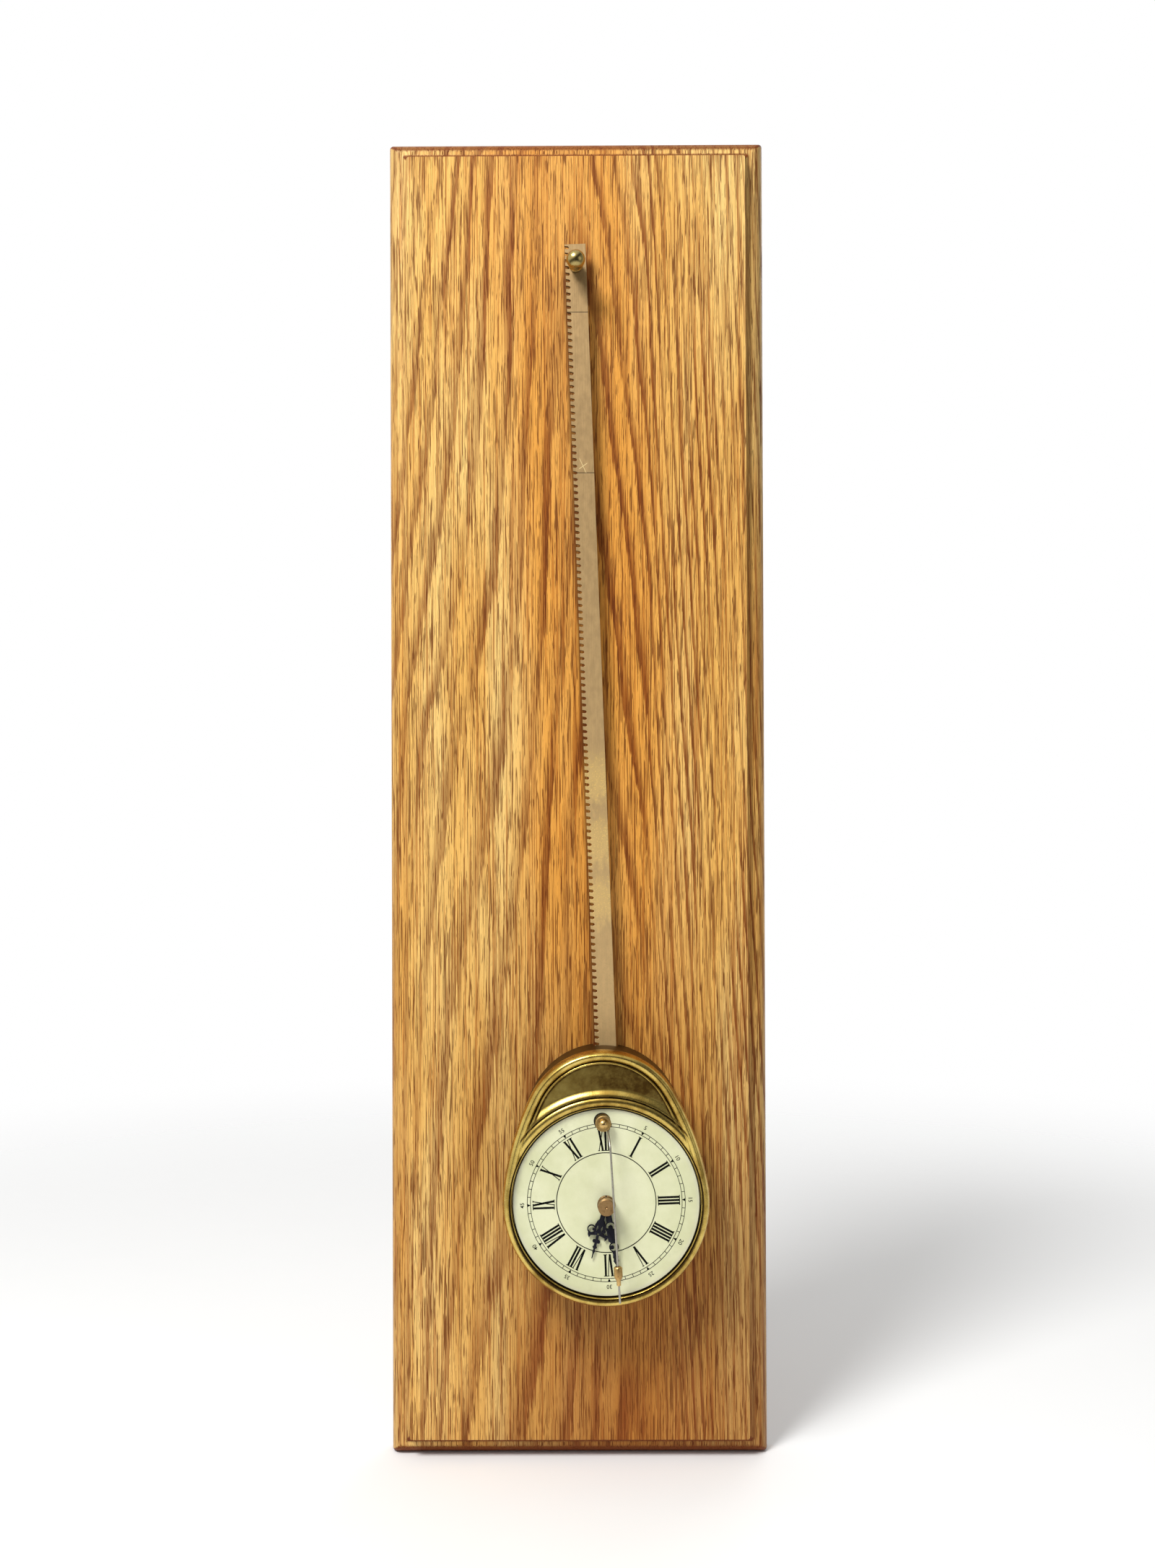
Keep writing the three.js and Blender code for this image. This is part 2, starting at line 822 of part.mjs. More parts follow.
const rollerPlaces = rollers.heights.map(
  (height) => new THREE.Vector2(clock.left + rack.width / 2 + gap + rollers.radius, height),
);
const stopLugHeight = clock.below - rack.stopBelow + rack.stopHeadRadius + gap + plates.lugHeight / 2;

function makePlates(group) {
  const pivotHole = (place, radius = pivotRadius) => circle(radius + gap, facets.small, place);
  const arbors = [centreAt, thirdAt, fourthAt, escapeAt];
  const backHoles = [
    ...arbors.map((place) => pivotHole(place)),
    pivotHole(palletAt),
    circle(rackWheel.arborRadius + gap, facets.medium, driveAt),
    ...pillarPlaces.map((place) => circle(pillars.spigotRadius + gap, facets.medium, place)),
    ...rollerPlaces.map((place) => circle(rollers.studRadius + gap, facets.small, place)),
  ];
  const tongue = moved(
    rod(plates.tongueRadius, plates.backDepth, plates.innerBack, facets.medium),
    palletAt.x,
    palletAt.y,
  );
  const lug = block(
    plates.lugWidth,
    plates.lugHeight,
    rack.frontDepth + gap,
    plates.backDepth + gap,
    clock.left + stopAside,
    stopLugHeight,
  );
  const drills = backHoles.map((hole) =>
    plate(hole, [], plates.backDepth - overrun, plates.innerBack + overrun),
  );
  const disc = rod(plates.backRadius, plates.backDepth, plates.innerBack, facets.large);
  addPiece(group, "back_plate", cut(join(disc, tongue, lug), ...drills), movementBrass);
  const frontHoles = [
    pivotHole(thirdAt),
    pivotHole(fourthAt),
    pivotHole(escapeAt),
    pivotHole(driveAt),
    circle(arborRadius + gap, facets.small, centreAt),
    circle(arborRadius + gap, facets.small, palletAt),
    circle(motionWork.studRadius + gap, facets.small, minuteAt),
    ...[...pillarPlaces, ...caseScrewPlaces].map((place) =>
      circle(pillars.screwRadius + gap, facets.fastener, place),
    ),
    ...dial.footAngles.map((angle) =>
      circle(dial.footRadius + gap, facets.fastener, polar(dial.footPlace, angle)),
    ),
  ];
  const front = plate(
    circle(plates.frontRadius, facets.large),
    frontHoles,
    plates.innerFront,
    plates.frontDepth,
  );
  addPiece(group, "front_plate", front, movementBrass);
}

function makePillars(group) {
  const coverFront = shell.backDepth + gap + cover.thickness;
  const bore = pillars.screwRadius + gap;
  const back = coverFront + gap;
  const front = plates.innerFront - gap;
  pillarPlaces.forEach((place, i) => {
    const pillar = turned(
      [
        [0, back + pillars.screwLength],
        [bore, back + pillars.screwLength],
        [bore, back],
        [pillars.spigotRadius, back],
        [pillars.spigotRadius, plates.innerBack + gap],
        [pillars.radius, plates.innerBack + gap],
        [pillars.radius, front],
        [bore, front],
        [bore, front - pillars.screwLength],
        [0, front - pillars.screwLength],
      ],
      facets.small,
    );
    addPiece(group, `pillar_${i + 1}`, pillar, movementBrass, place);
    const screw = slottedScrew(plates.frontDepth + gap, pillars.headRadius, pillars.screwLength + plates.thickness);
    addPiece(group, `plate_screw_${i + 1}`, screw, steel, place);
  });
  caseScrewPlaces.forEach((place, i) => {
    const screw = turned(
      [
        [0, plates.innerFront - gap - pillars.headThickness],
        [caseScrews.headRadius, plates.innerFront - gap - pillars.headThickness],
        [caseScrews.headRadius, plates.innerFront - gap],
        [pillars.screwRadius, plates.innerFront - gap],
        [pillars.screwRadius, dial.backDepth - 2 * gap - pillars.screwRadius],
        [0, dial.backDepth - 2 * gap - pillars.screwRadius],
      ],
      facets.fastener,
    );
    addPiece(group, `case_screw_${i + 1}`, screw, steel, place);
  });
}

// A cheese-head screw that is driven from the front
function slottedScrew(headBack, headRadius, length) {
  const headFront = headBack + pillars.headThickness;
  const body = turned(
    [
      [0, headBack - length],
      [pillars.screwRadius, headBack - length],
      [pillars.screwRadius, headBack],
      [headRadius, headBack],
      [headRadius, headFront],
      [0, headFront],
    ],
    facets.fastener,
  );
  const slot = block(
    2 * headRadius + overrun,
    pillars.slotWidth,
    headFront - pillars.headThickness / 2,
    headFront + overrun,
    0,
    0,
  );
  return cut(body, slot);
}

// Drive: rack wheel, its arbor and the ratchet that it carries
function rackWheelOutline() {
  const { teeth, pitchRadius, tipRise, rootDrop, tipWidth, rootWidth } = rackWheel;
  const [tip, root] = [pitchRadius + tipRise, pitchRadius - rootDrop];
  return Array.from({ length: teeth }, (_, i) => {
    const face = (i * fullTurn) / teeth;
    return [
      polar(root, face),
      polar(tip, face),
      polar(tip, face + tipWidth / tip),
      polar(root, face + rootWidth / root),
    ];
  }).flat();
}

// The wheel's teeth stand just above the load faces of the rack.
function rackWheelTurn() {
  const height = -clock.below + driveAt.y;
  const below = rack.above - rack.pitch * Math.ceil((rack.above - height) / rack.pitch);
  return (below + rackWheel.workingGap - height) / rackWheel.pitchRadius;
}

function makeDrive(group) {
  const middle = (rack.backDepth + rack.frontDepth) / 2;
  const [back, front] = [middle - rackWheel.thickness / 2, middle + rackWheel.thickness / 2];
  const bore = circle(rackWheel.arborRadius + gap, facets.medium);
  const wheel = plate(rackWheelOutline(), [bore], back, front);
  addPiece(group, "rack_wheel", wheel, movementBrass, driveAt, rackWheelTurn());
  const arbor = turned(
    [
      [0, back - gap],
      [rackWheel.arborRadius, back - gap],
      [rackWheel.arborRadius, plates.innerFront - gap],
      [pivotRadius, plates.innerFront - gap],
      [pivotRadius, plates.frontDepth - gap],
      [0, plates.frontDepth - gap],
    ],
    facets.small,
  );
  addPiece(group, "drive_arbor", arbor, steel, driveAt);
  const saw = Array.from({ length: ratchet.teeth }, (_, i) => {
    const face = (i * fullTurn) / ratchet.teeth;
    return [polar(ratchet.tipRadius - ratchet.toothDepth, face), polar(ratchet.tipRadius, face)];
  }).flat();
  addPiece(
    group,
    "ratchet_wheel",
    plate(saw, [bore], ratchet.depth, ratchet.depth + ratchet.thickness),
    steel,
    driveAt,
  );
}

// Great wheel with its click
function makeGreatWheel(group, turn) {
  const { teeth, module, depth } = train.great;
  const rim = wheelRadius(train.great) - 3 * module;
  const outline = wheelTeeth(teeth, module);
  const bore = circle(rackWheel.arborRadius + gap, facets.small);
  const screwHole = circle(click.screwRadius + gap, facets.small, polar(click.pivotPlace, 0));
  const footHole = circle(click.screwRadius + gap, facets.small, polar(click.pivotPlace, -halfTurn / 2));
  const wheel = plate(outline, [bore, screwHole, footHole], depth, depth + wheelThickness);
  addPiece(group, "great_wheel", wheel, movementBrass, driveAt, turn);
  const [back, front] = [ratchet.depth, ratchet.depth + ratchet.thickness];
  const pivot = new THREE.Vector2(click.pivotPlace, 0);
  const nose = polar(ratchet.tipRadius + gap, click.noseAngle);
  const body = [
    nose,
    nose.clone().add(polar(click.noseWidth, click.noseAngle)),
    pivot.clone().add(polar(click.bossRadius, click.noseAngle)),
    pivot.clone().add(polar(click.bossRadius, 0)),
    pivot.clone().add(polar(click.bossRadius, -halfTurn / 2)),
    pivot.clone().add(polar(click.bossRadius, halfTurn - click.noseAngle)),
  ];
  const arm = cut(
    join(plate(body, [], back, front), moved(rod(click.bossRadius, back, front, facets.medium), pivot.x, 0)),
    moved(rod(click.screwRadius + gap, back - overrun, front + overrun, facets.small), pivot.x, 0),
  );
  addPiece(group, "click", arm, steel, driveAt, turn);
  const screw = (place) =>
    moved(
      turned(
        [
          [0, depth + gap],
          [click.screwRadius, depth + gap],
          [click.screwRadius, front + gap],
          [click.bossRadius, front + gap],
          [click.bossRadius, front + 2 * gap + click.screwRadius],
          [0, front + 2 * gap + click.screwRadius],
        ],
        facets.fastener,
      ),
      place.x,
      place.y,
    );
  addPiece(group, "click_screw", screw(pivot), steel, driveAt, turn);
  addPiece(group, "click_spring", clickSpring(back, front, pivot, nose, rim), steel, driveAt, turn);
}

// A leaf that runs round the ratchet from its foot to the back of the click
function clickSpring(back, front, pivot, nose, rim) {
  const foot = polar(click.pivotPlace, -halfTurn / 2);
  const touch = pivot.clone().add(polar(click.bossRadius + gap, click.noseAngle / 2));
  const outer = Math.min(touch.length(), rim);
  const end = Math.atan2(touch.y, touch.x);
  const steps = facets.small;
  const leaf = [outer, outer + click.springWidth].map((radius) =>
    Array.from({ length: steps + 1 }, (_, i) => polar(radius, -halfTurn / 2 + ((end + halfTurn / 2) * i) / steps)),
  );
  const strip = plate([...leaf[0], ...leaf[1].reverse()], [], back, front);
  const head = plate(circle(outer - click.pivotPlace + click.springWidth, facets.medium, foot), [], back, front);
  const pin = moved(rod(click.screwRadius, train.great.depth + gap, front, facets.small), foot.x, foot.y);
  return join(strip, head, pin);
}

// A wheel and pinion on one arbor between the plates
function makeArbor(group, name, place, turn, parts) {
  const back = plates.innerBack + gap;
  const front = plates.innerFront - gap;
  const shaft = turned(
    [
      [0, plates.backDepth + gap],
      [pivotRadius, plates.backDepth + gap],
      [pivotRadius, back],
      [arborRadius, back],
      [arborRadius, front],
      [pivotRadius, front],
      [pivotRadius, plates.frontDepth - gap],
      [0, plates.frontDepth - gap],
    ],
    facets.small,
  );
  addPiece(group, name, join(shaft, ...parts), movementBrass, place, turn);
}

// The pinion is turned against the wheel beside it, so that both mesh their neighbours
function pinion(leaves, module, back, front, turn) {
  return plate(pinionLeaves(leaves, module), [], back, front).rotateY(-turn);
}

function crossedWheel(stage) {
  const radius = wheelRadius(stage);
  const windows = crossings(wheelArms, radius / 3, radius - 3 * stage.module, 2 * wheelThickness);
  return plate(wheelTeeth(stage.teeth, stage.module), windows, stage.depth, stage.depth + wheelThickness);
}

const greatTurn = 0;
const centrePinionTurn = meshTurn(heading(driveAt, centreAt), greatTurn, train.great.teeth, train.great.leaves);
const centreTurn = 0;
const thirdPinionTurn = meshTurn(heading(centreAt, thirdAt), centreTurn, train.centre.teeth, train.centre.leaves);
const thirdTurn = 0;
const fourthPinionTurn = meshTurn(heading(thirdAt, fourthAt), thirdTurn, train.third.teeth, train.third.leaves);
const fourthTurn = 0;
const escapePinionTurn = meshTurn(heading(fourthAt, escapeAt), fourthTurn, train.fourth.teeth, train.fourth.leaves);

function makeTrain(group) {
  const around = (stage) => [stage.depth - gap, stage.depth + wheelThickness + gap];
  makeGreatWheel(group, greatTurn);
  const { great, centre, third, fourth } = train;
  const centreShaft = rod(arborRadius, plates.innerFront - 2 * gap, knobFront() - 2 * arborRadius, facets.small);
  const centreRear = turned(
    [
      [0, plates.backDepth + gap],
      [pivotRadius, plates.backDepth + gap],
      [pivotRadius, plates.innerBack + gap],
      [arborRadius, plates.innerBack + gap],
      [arborRadius, plates.innerFront],
      [0, plates.innerFront],
    ],
    facets.small,
  );
  const centreUnit = join(
    centreRear,
    centreShaft,
    pinion(great.leaves, great.module, ...around(great), centrePinionTurn),
    crossedWheel(centre),
  );
  addPiece(group, "centre_arbor", centreUnit, movementBrass, centreAt);
  makeArbor(group, "third_arbor", thirdAt, thirdTurn, [
    pinion(centre.leaves, centre.module, ...around(centre), thirdPinionTurn),
    crossedWheel(third),
  ]);
  makeArbor(group, "fourth_arbor", fourthAt, fourthTurn, [
    pinion(third.leaves, third.module, ...around(third), fourthPinionTurn),
    crossedWheel(fourth),
  ]);
  const points = Array.from({ length: escape.teeth }, (_, i) => {
    const face = (i * fullTurn) / escape.teeth;
    return [polar(escape.tipRadius - escape.toothDepth, face), polar(escape.tipRadius, face)];
  }).flat();
  makeArbor(group, "escape_arbor", escapeAt, 0, [
    pinion(fourth.leaves, fourth.module, ...around(fourth), escapePinionTurn),
    plate(points, [], escape.depth, escape.depth + escape.thickness),
  ]);
}

// Motion work and hands
const cannonTurn = 0;
const minuteWheelTurn = meshTurn(
  heading(centreAt, minuteAt),
  cannonTurn,
  motionWork.cannon.leaves,
  motionWork.minute.teeth,
);
const hourWheelTurn = meshTurn(
  heading(minuteAt, centreAt),
  minuteWheelTurn,
  motionWork.minute.leaves,
  motionWork.hour.teeth,
);

function makeMotionWork(group) {
  const { cannon, minute, hour, lowerDepth, upperDepth, thickness } = motionWork;
  const cannonBore = arborRadius + gap;
  const cannonFront = hands.minuteDepth + hands.thickness + gap;
  const cannonBody = join(
    sleeve(cannonBore, motionWork.cannonPipe, lowerDepth, cannonFront, facets.small),
    plate(
      pinionLeaves(cannon.leaves, cannon.module),
      [circle(cannonBore + gap, facets.small)],
      lowerDepth,
      lowerDepth + thickness,
    ),
  );
  addPiece(group, "cannon_pinion", cannonBody, steel, centreAt, cannonTurn);
  const studFront = dial.backDepth - gap;
  addPiece(
    group,
    "minute_wheel_stud",
    rod(motionWork.studRadius, plates.innerFront + gap, studFront, facets.small),
    steel,
    minuteAt,
  );
  const bore = circle(motionWork.studRadius + gap, facets.small);
  const lowerWheel = plate(wheelTeeth(minute.teeth, cannon.module), [bore], lowerDepth, lowerDepth + thickness);
  const upperPinion = plate(
    pinionLeaves(minute.leaves, minute.module),
    [bore],
    lowerDepth + thickness / 2,
    upperDepth + thickness,
  );
  addPiece(group, "minute_wheel", join(lowerWheel, upperPinion), movementBrass, minuteAt, minuteWheelTurn);
  const pipeBore = motionWork.cannonPipe + gap;
  const hourFront = hands.hourDepth + hands.thickness + gap;
  const hourBody = join(
    sleeve(pipeBore, motionWork.hourPipe, upperDepth, hourFront, facets.small),
    plate(
      wheelTeeth(hour.teeth, minute.module),
      [circle(pipeBore + gap / 2, facets.small)],
      upperDepth,
      upperDepth + thickness,
    ),
  );
  addPiece(group, "hour_wheel", hourBody, movementBrass, centreAt, hourWheelTurn);
}

const disc = (radius, x, y, count = facets.medium) => circle(radius, count, new THREE.Vector2(x, y));

const outlineOf = (pairs) => pairs.map(([x, y]) => new THREE.Vector2(x, y));

const mirrored = (pairs) => [...pairs, ...pairs.map(([x, y]) => [-x, y]).reverse()];

// Hour hand: a collar, two scroll rings with wings, an open knot, beads, a spiked collar and a bulb
const hourHand = {
  collarRadius: 3.6,
  neckHalf: 1.1,
  neckReach: 8,
  kneeHalf: 1.8,
  kneeReach: 9,
  knotHalf: 2.5,
  knotReach: 11,
  ringAside: 3.6,
  ringReach: 13.3,
  ringRadius: 2.05,
  ringOpening: 1.35,
  dotShift: 0.8,
  dotRadius: 0.8,
  wingShoulder: 4.7,
  wingAside: 3.8,
  wingReach: 17.5,
  wingRootReach: 15.4,
  eyeAside: 1.1,
  eyeReach: 12.4,
  eyeHalf: 0.5,
  eyeHalfLength: 1.5,
  dropReach: 15,
  dropRadius: 0.45,
  stemHalf: 0.6,
  beadAside: 1,
  beadReach: 18.4,
  beadRadius: 0.72,
  spikeHalf: 1.1,
  spikeReach: 21.3,
  spikeHalfLength: 0.9,
  bulbHalf: 0.7,
  bulbReach: 23.1,
  bulbHalfLength: 1,
  pointHalf: 0.3,
};

const inHour = (points) => plate(points, [], hands.hourDepth, hands.hourDepth + hands.thickness);
const inMinute = (points) => plate(points, [], hands.minuteDepth, hands.minuteDepth + hands.thickness);
const throughHands = (points) =>
  plate(points, [], hands.hourDepth - overrun, hands.minuteDepth + hands.thickness + overrun);

function hourHandSolid() {
  const h = hourHand;
  const spine = mirrored([
    [h.neckHalf, 0],
    [h.neckHalf, h.neckReach],
    [h.kneeHalf, h.kneeReach],
    [h.knotHalf, h.knotReach],
    [h.knotHalf, h.ringReach],
    [h.stemHalf, h.wingRootReach],
    [h.stemHalf, h.spikeReach - h.spikeHalfLength],
    [h.spikeHalf, h.spikeReach],
    [h.pointHalf, h.spikeReach + h.spikeHalfLength],
    [h.bulbHalf, h.bulbReach],
    [h.pointHalf, h.bulbReach + h.bulbHalfLength],
    [h.pointHalf, hands.hourLength],
  ]);
  const parts = [inHour(disc(h.collarRadius, 0, 0, facets.round))];
  const windows = [
    throughHands(disc(motionWork.hourPipe + gap, 0, 0, facets.medium)),
    throughHands(disc(h.dropRadius, 0, h.dropReach, facets.small)),
  ];
  [-1, 1].forEach((side) => {
    const ringX = side * h.ringAside;
    const wing = [
      [0, h.ringReach],
      [ringX, h.ringReach],
      [side * h.wingShoulder, h.ringReach + h.ringRadius],
      [side * h.wingAside, h.wingReach],
      [0, h.wingRootReach],
    ];
    const eye = [
      [side * h.eyeAside, h.eyeReach - h.eyeHalfLength],
      [side * (h.eyeAside + h.eyeHalf), h.eyeReach],
      [side * h.eyeAside, h.eyeReach + h.eyeHalfLength],
      [side * (h.eyeAside - h.eyeHalf), h.eyeReach],
    ];
    parts.push(
      inHour(disc(h.ringRadius, ringX, h.ringReach)),
      inHour(outlineOf(wing)),
      inHour(disc(h.beadRadius, side * h.beadAside, h.beadReach, facets.small)),
    );
    windows.push(
      cut(
        throughHands(disc(h.ringOpening, ringX, h.ringReach)),
        throughHands(disc(h.dotRadius, ringX - side * h.dotShift, h.ringReach, facets.small)),
      ),
      throughHands(outlineOf(eye)),
    );
  });
  return cut(join(inHour(outlineOf(spine)), ...parts), ...windows);
}

// Minute hand: a collar, a ring, a solid shield, a second ring, a serrated blade and a long tip
const minuteHand = {
  collarRadius: 3.2,
  neckHalf: 1.5,
  ringReach: 10.9,
  ringRadius: 2.6,
  ringOpening: 2.05,
  dotRadius: 1.1,
  dotReach: 11.2,
  shieldReach: 12,
  shieldHalf: 2.1,
  shieldEnd: 17.3,
  waistHalf: 1.1,
  waistReach: 18.2,
  lowerReach: 20.4,
  lowerRadius: 2.25,
  lowerOpening: 1.65,
  lowerDot: 1.35,
  lowerDotShift: 0.85,
  bladeHalf: 1.3,
  bladeReaches: [25.2, 27],
  notchHalf: 1,
  notchDrop: 0.5,
  tipHalf: 0.5,
  tipReach: 28.6,
};

function minuteHandSolid() {
  const m = minuteHand;
  const blade = m.bladeReaches.flatMap((reach) => [
    [m.notchHalf, reach - 3 * m.notchDrop],
    [m.bladeHalf, reach],
    [m.notchHalf, reach + m.notchDrop],
  ]);
  const spine = mirrored([
    [m.neckHalf, 0],
    [m.neckHalf, m.ringReach],
    [m.shieldHalf, m.shieldReach],
    [m.shieldHalf, m.shieldEnd],
    [m.waistHalf, m.waistReach],
    [m.waistHalf, m.lowerReach + m.lowerRadius],
    ...blade.slice(0, -1),
    [m.tipHalf, m.tipReach],
    [m.tipHalf / 2, hands.minuteLength],
  ]);
  const body = join(
    inMinute(outlineOf(spine)),
    inMinute(disc(m.ringRadius, 0, m.ringReach, facets.round)),
    inMinute(disc(m.lowerRadius, 0, m.lowerReach, facets.round)),
    inMinute(disc(m.collarRadius, 0, 0, facets.round)),
  );
  const fill = mirrored([
    [m.ringRadius, m.shieldReach],
    [m.ringRadius, m.shieldReach + m.ringRadius],
  ]);
  const crescent = cut(
    throughHands(disc(m.ringOpening, 0, m.ringReach)),
    throughHands(disc(m.dotRadius, 0, m.dotReach, facets.small)),
    throughHands(outlineOf(fill)),
  );
  const lowerCrescent = cut(
    throughHands(disc(m.lowerOpening, 0, m.lowerReach)),
    throughHands(disc(m.lowerDot, m.lowerDotShift, m.lowerReach, facets.small)),
  );
  const bore = throughHands(disc(motionWork.cannonPipe + gap, 0, 0));
  return cut(body, bore, crescent, lowerCrescent);
}

const collarBackDepth = () => hands.minuteDepth + hands.thickness + 2 * gap;
const knobBackDepth = () => collarBackDepth() + knob.collarThickness + gap;
function knobFront() {
  return knobBackDepth() + knob.length;
}

function makeHands(group) {
  addPiece(group, "hour_hand", hourHandSolid(), blackSteel, centreAt, -hands.hourAngle);
  addPiece(group, "minute_hand", minuteHandSolid(), blackSteel, centreAt, -hands.minuteAngle);
  const bore = arborRadius + gap;
  const back = collarBackDepth();
  const ring = sleeve(bore, knob.collarRadius, back, back + knob.collarThickness, facets.round);
  const slit = block(
    knob.slitWidth,
    knob.collarRadius,
    back - overrun,
    back + knob.collarThickness + overrun,
    0,
    bore + knob.collarRadius / 2,
  );
  addPiece(group, "hand_collar", cut(ring, slit), rackBrass);
  const front = knobFront();
  const button = turned(
    [
      [0, front - arborRadius],
      [bore, front - arborRadius],
      [bore, knobBackDepth()],
      [knob.radius, knobBackDepth()],
      [knob.radius, front - gap],
      [knob.radius - gap, front],
      [knob.dimpleRadius, front],
      [0, front - knob.dimpleRadius],
    ],
    facets.round,
  );
  addPiece(group, "hand_knob", button, rackBrass);
}

function makeDial(group) {
  const front = dial.backDepth + dial.thickness;
  const centreHole = circle(motionWork.hourPipe + 2 * gap, facets.medium);
  const palletHole = circle(dial.holeRadius, facets.medium, palletAt);
  const disk = plate(circle(dial.radius, facets.large), [centreHole, palletHole], dial.backDepth, front);
  const feet = dial.footAngles.map((angle) => {
    const place = polar(dial.footPlace, angle);
    const foot = rod(dial.footRadius, plates.innerFront + gap, dial.backDepth + dial.thickness / 2, facets.small);
    return moved(foot, place.x, place.y);
  });
  addPiece(group, "dial", join(disk, ...feet), enamel);
}

// Guide rollers behind the back plate keep the rack against the rack wheel
function makeRollers(group) {
  const middle = (rack.backDepth + rack.frontDepth) / 2;
  const half = rack.thickness / 2 + 2 * gap;
  rollerPlaces.forEach((place, i) => {
    const label = ["upper", "lower"][i];
    addPiece(
      group,
      `${label}_guide_roller`,
      sleeve(rollers.studRadius + gap, rollers.radius, middle - half, middle + half, facets.round),
      steel,
      place,
    );
    const headFront = middle - half - gap;
    const stud = turned(
      [
        [0, headFront - rollers.headThickness],
        [rollers.headRadius, headFront - rollers.headThickness],
        [rollers.headRadius, headFront],
        [rollers.studRadius, headFront],
        [rollers.studRadius, plates.innerBack - gap],
        [0, plates.innerBack - gap],
      ],
      facets.fastener,
    );
    addPiece(group, `${label}_roller_stud`, stud, steel, place);
  });
}

// Pendulum frame: the origin is on the pallet arbor, and z points up along the pendulum's own line
const wireTopX = pendulum.flangeRadius / 2;
const bendPoint = new THREE.Vector3(pendulum.bendAside, -pendulum.wireDepth, -pendulum.bendDrop);
const wireEnd = new THREE.Vector3(0, -pendulum.wireDepth, -pendulum.length);

function makePallets(group) {
  const [back, front] = [pallets.depth, pallets.depth + pallets.thickness];
  const nosePlace = escape.tipRadius + pallets.noseGap;
  const hub = plate(circle(pallets.hubRadius, facets.medium), [], back, front);
  const arms = [-1, 1].map((side) => {
    const tip = new THREE.Vector2(
      side * nosePlace * Math.sin(pallets.noseAngle),
      nosePlace * Math.cos(pallets.noseAngle) - escape.belowPallets,
    );
    const knee = new THREE.Vector2(tip.x + side * pallets.armWidth, tip.y + pallets.armWidth);
    const outline = [
      new THREE.Vector2(0, pallets.armWidth / 2),
      knee,
      tip,
      new THREE.Vector2(tip.x, tip.y + pallets.noseWidth),
      new THREE.Vector2(0, -pallets.armWidth / 2),
    ];
    return plate(side < 0 ? outline : outline.reverse(), [], back, front);
  });
  const bore = rod(arborRadius + gap, back - overrun, front + overrun, facets.small);
  addPiece(group, "pallets", cut(join(hub, ...arms), bore), steel);
  const arbor = turned(
    [
      [0, plates.backDepth + gap],
      [pivotRadius, plates.backDepth + gap],
      [pivotRadius, plates.innerBack + gap],
      [arborRadius, plates.innerBack + gap],
      [arborRadius, pendulum.flangeDepth + pendulum.flangeThickness],
      [0, pendulum.flangeDepth + pendulum.flangeThickness],
    ],
    facets.small,
  );
  addPiece(group, "pallet_arbor", arbor, steel);
}

function makePendulum(group) {
  const { flangeRadius, flangeDepth, flangeThickness, domeRadius, domeRise } = pendulum;
  const flangeFront = flangeDepth + flangeThickness;
  const dome = Array.from({ length: facets.small / 2 + 1 }, (_, i) => {
    const angle = (i * halfTurn) / facets.small;
    return [domeRadius * Math.cos(angle), flangeFront + domeRise * Math.sin(angle)];
  });
  dome[dome.length - 1][0] = 0;
  const bore = arborRadius + gap;
  const boss = turned(
    [
      [0, flangeFront + gap],
      [bore, flangeFront + gap],
      [bore, flangeDepth],
      [flangeRadius, flangeDepth],
      [flangeRadius, flangeFront],
      ...dome,
    ],
    facets.round,
  );
  addPiece(group, "pendulum_boss", boss, rackBrass);
  const top = new THREE.Vector3(
    wireTopX,
    -(flangeDepth + flangeThickness / 2),
    -Math.sqrt((flangeRadius + gap) ** 2 - wireTopX ** 2),
  );
  const path = new THREE.CurvePath();
  const knee = new THREE.Vector3(bendPoint.x, bendPoint.y, (top.z + bendPoint.z) / 2);
  path.add(new THREE.QuadraticBezierCurve3(top, knee, bendPoint));
  path.add(new THREE.LineCurve3(bendPoint, wireEnd));
  const wire = new THREE.ExtrudeGeometry(new THREE.Shape(circle(pendulum.wireRadius, facets.small)), {
    steps: facets.round,
    extrudePath: path,
    bevelEnabled: false,
  });
  addPiece(group, "pendulum_rod", facingOut(wire), steel);
  makeBob(group);
}

function makeBob(group) {
  const { bobRadius, bobHeight, bobShoulder, bobTaper, neckRadius, neckHeight, wireRadius } = pendulum;
  const bore = wireRadius + gap;
  const half = bobHeight / 2;
  const profile = [
    [bore, half],
    [bobRadius - bobShoulder, half],
    [bobRadius, half - bobShoulder],
    [bobRadius, -half + bobTaper],
    [neckRadius, -half],
    [neckRadius, -half - neckHeight],
    [bore, -half - neckHeight],
    [bore, half],
  ].map(([radius, height]) => new THREE.Vector2(radius, height));
  const bob = facingOut(new THREE.LatheGeometry(profile, facets.medium)).rotateX(halfTurn / 2);
  const place = bendPoint.clone().lerp(wireEnd, pendulum.bobShare);
  const mesh = addPiece(group, "pendulum_bob", bob, rackBrass);
  mesh.position.copy(place);
  mesh.rotation.y = Math.atan2(pendulum.bendAside, pendulum.length - pendulum.bendDrop);
}

function makeClock(group) {
  makeCase(group);
  makeRearCover(group);
  makePlates(group);
  makePillars(group);
  makeDrive(group);
  makeTrain(group);
  makeMotionWork(group);
  makeRollers(group);
  makeDial(group);
  makeHands(group);
}

const gravityClock = new THREE.Group();
makeBoard(gravityClock);
makeHanger(gravityClock);
makePost(gravityClock);

const hanging = new THREE.Group();
hanging.position.set(0, 0, pinHeight);
hanging.rotation.y = -rack.tilt;
gravityClock.add(hanging);
makeRack(hanging);

const clockGroup = new THREE.Group();
clockGroup.position.set(-clock.left, 0, -clock.below);
hanging.add(clockGroup);
makeClock(clockGroup);

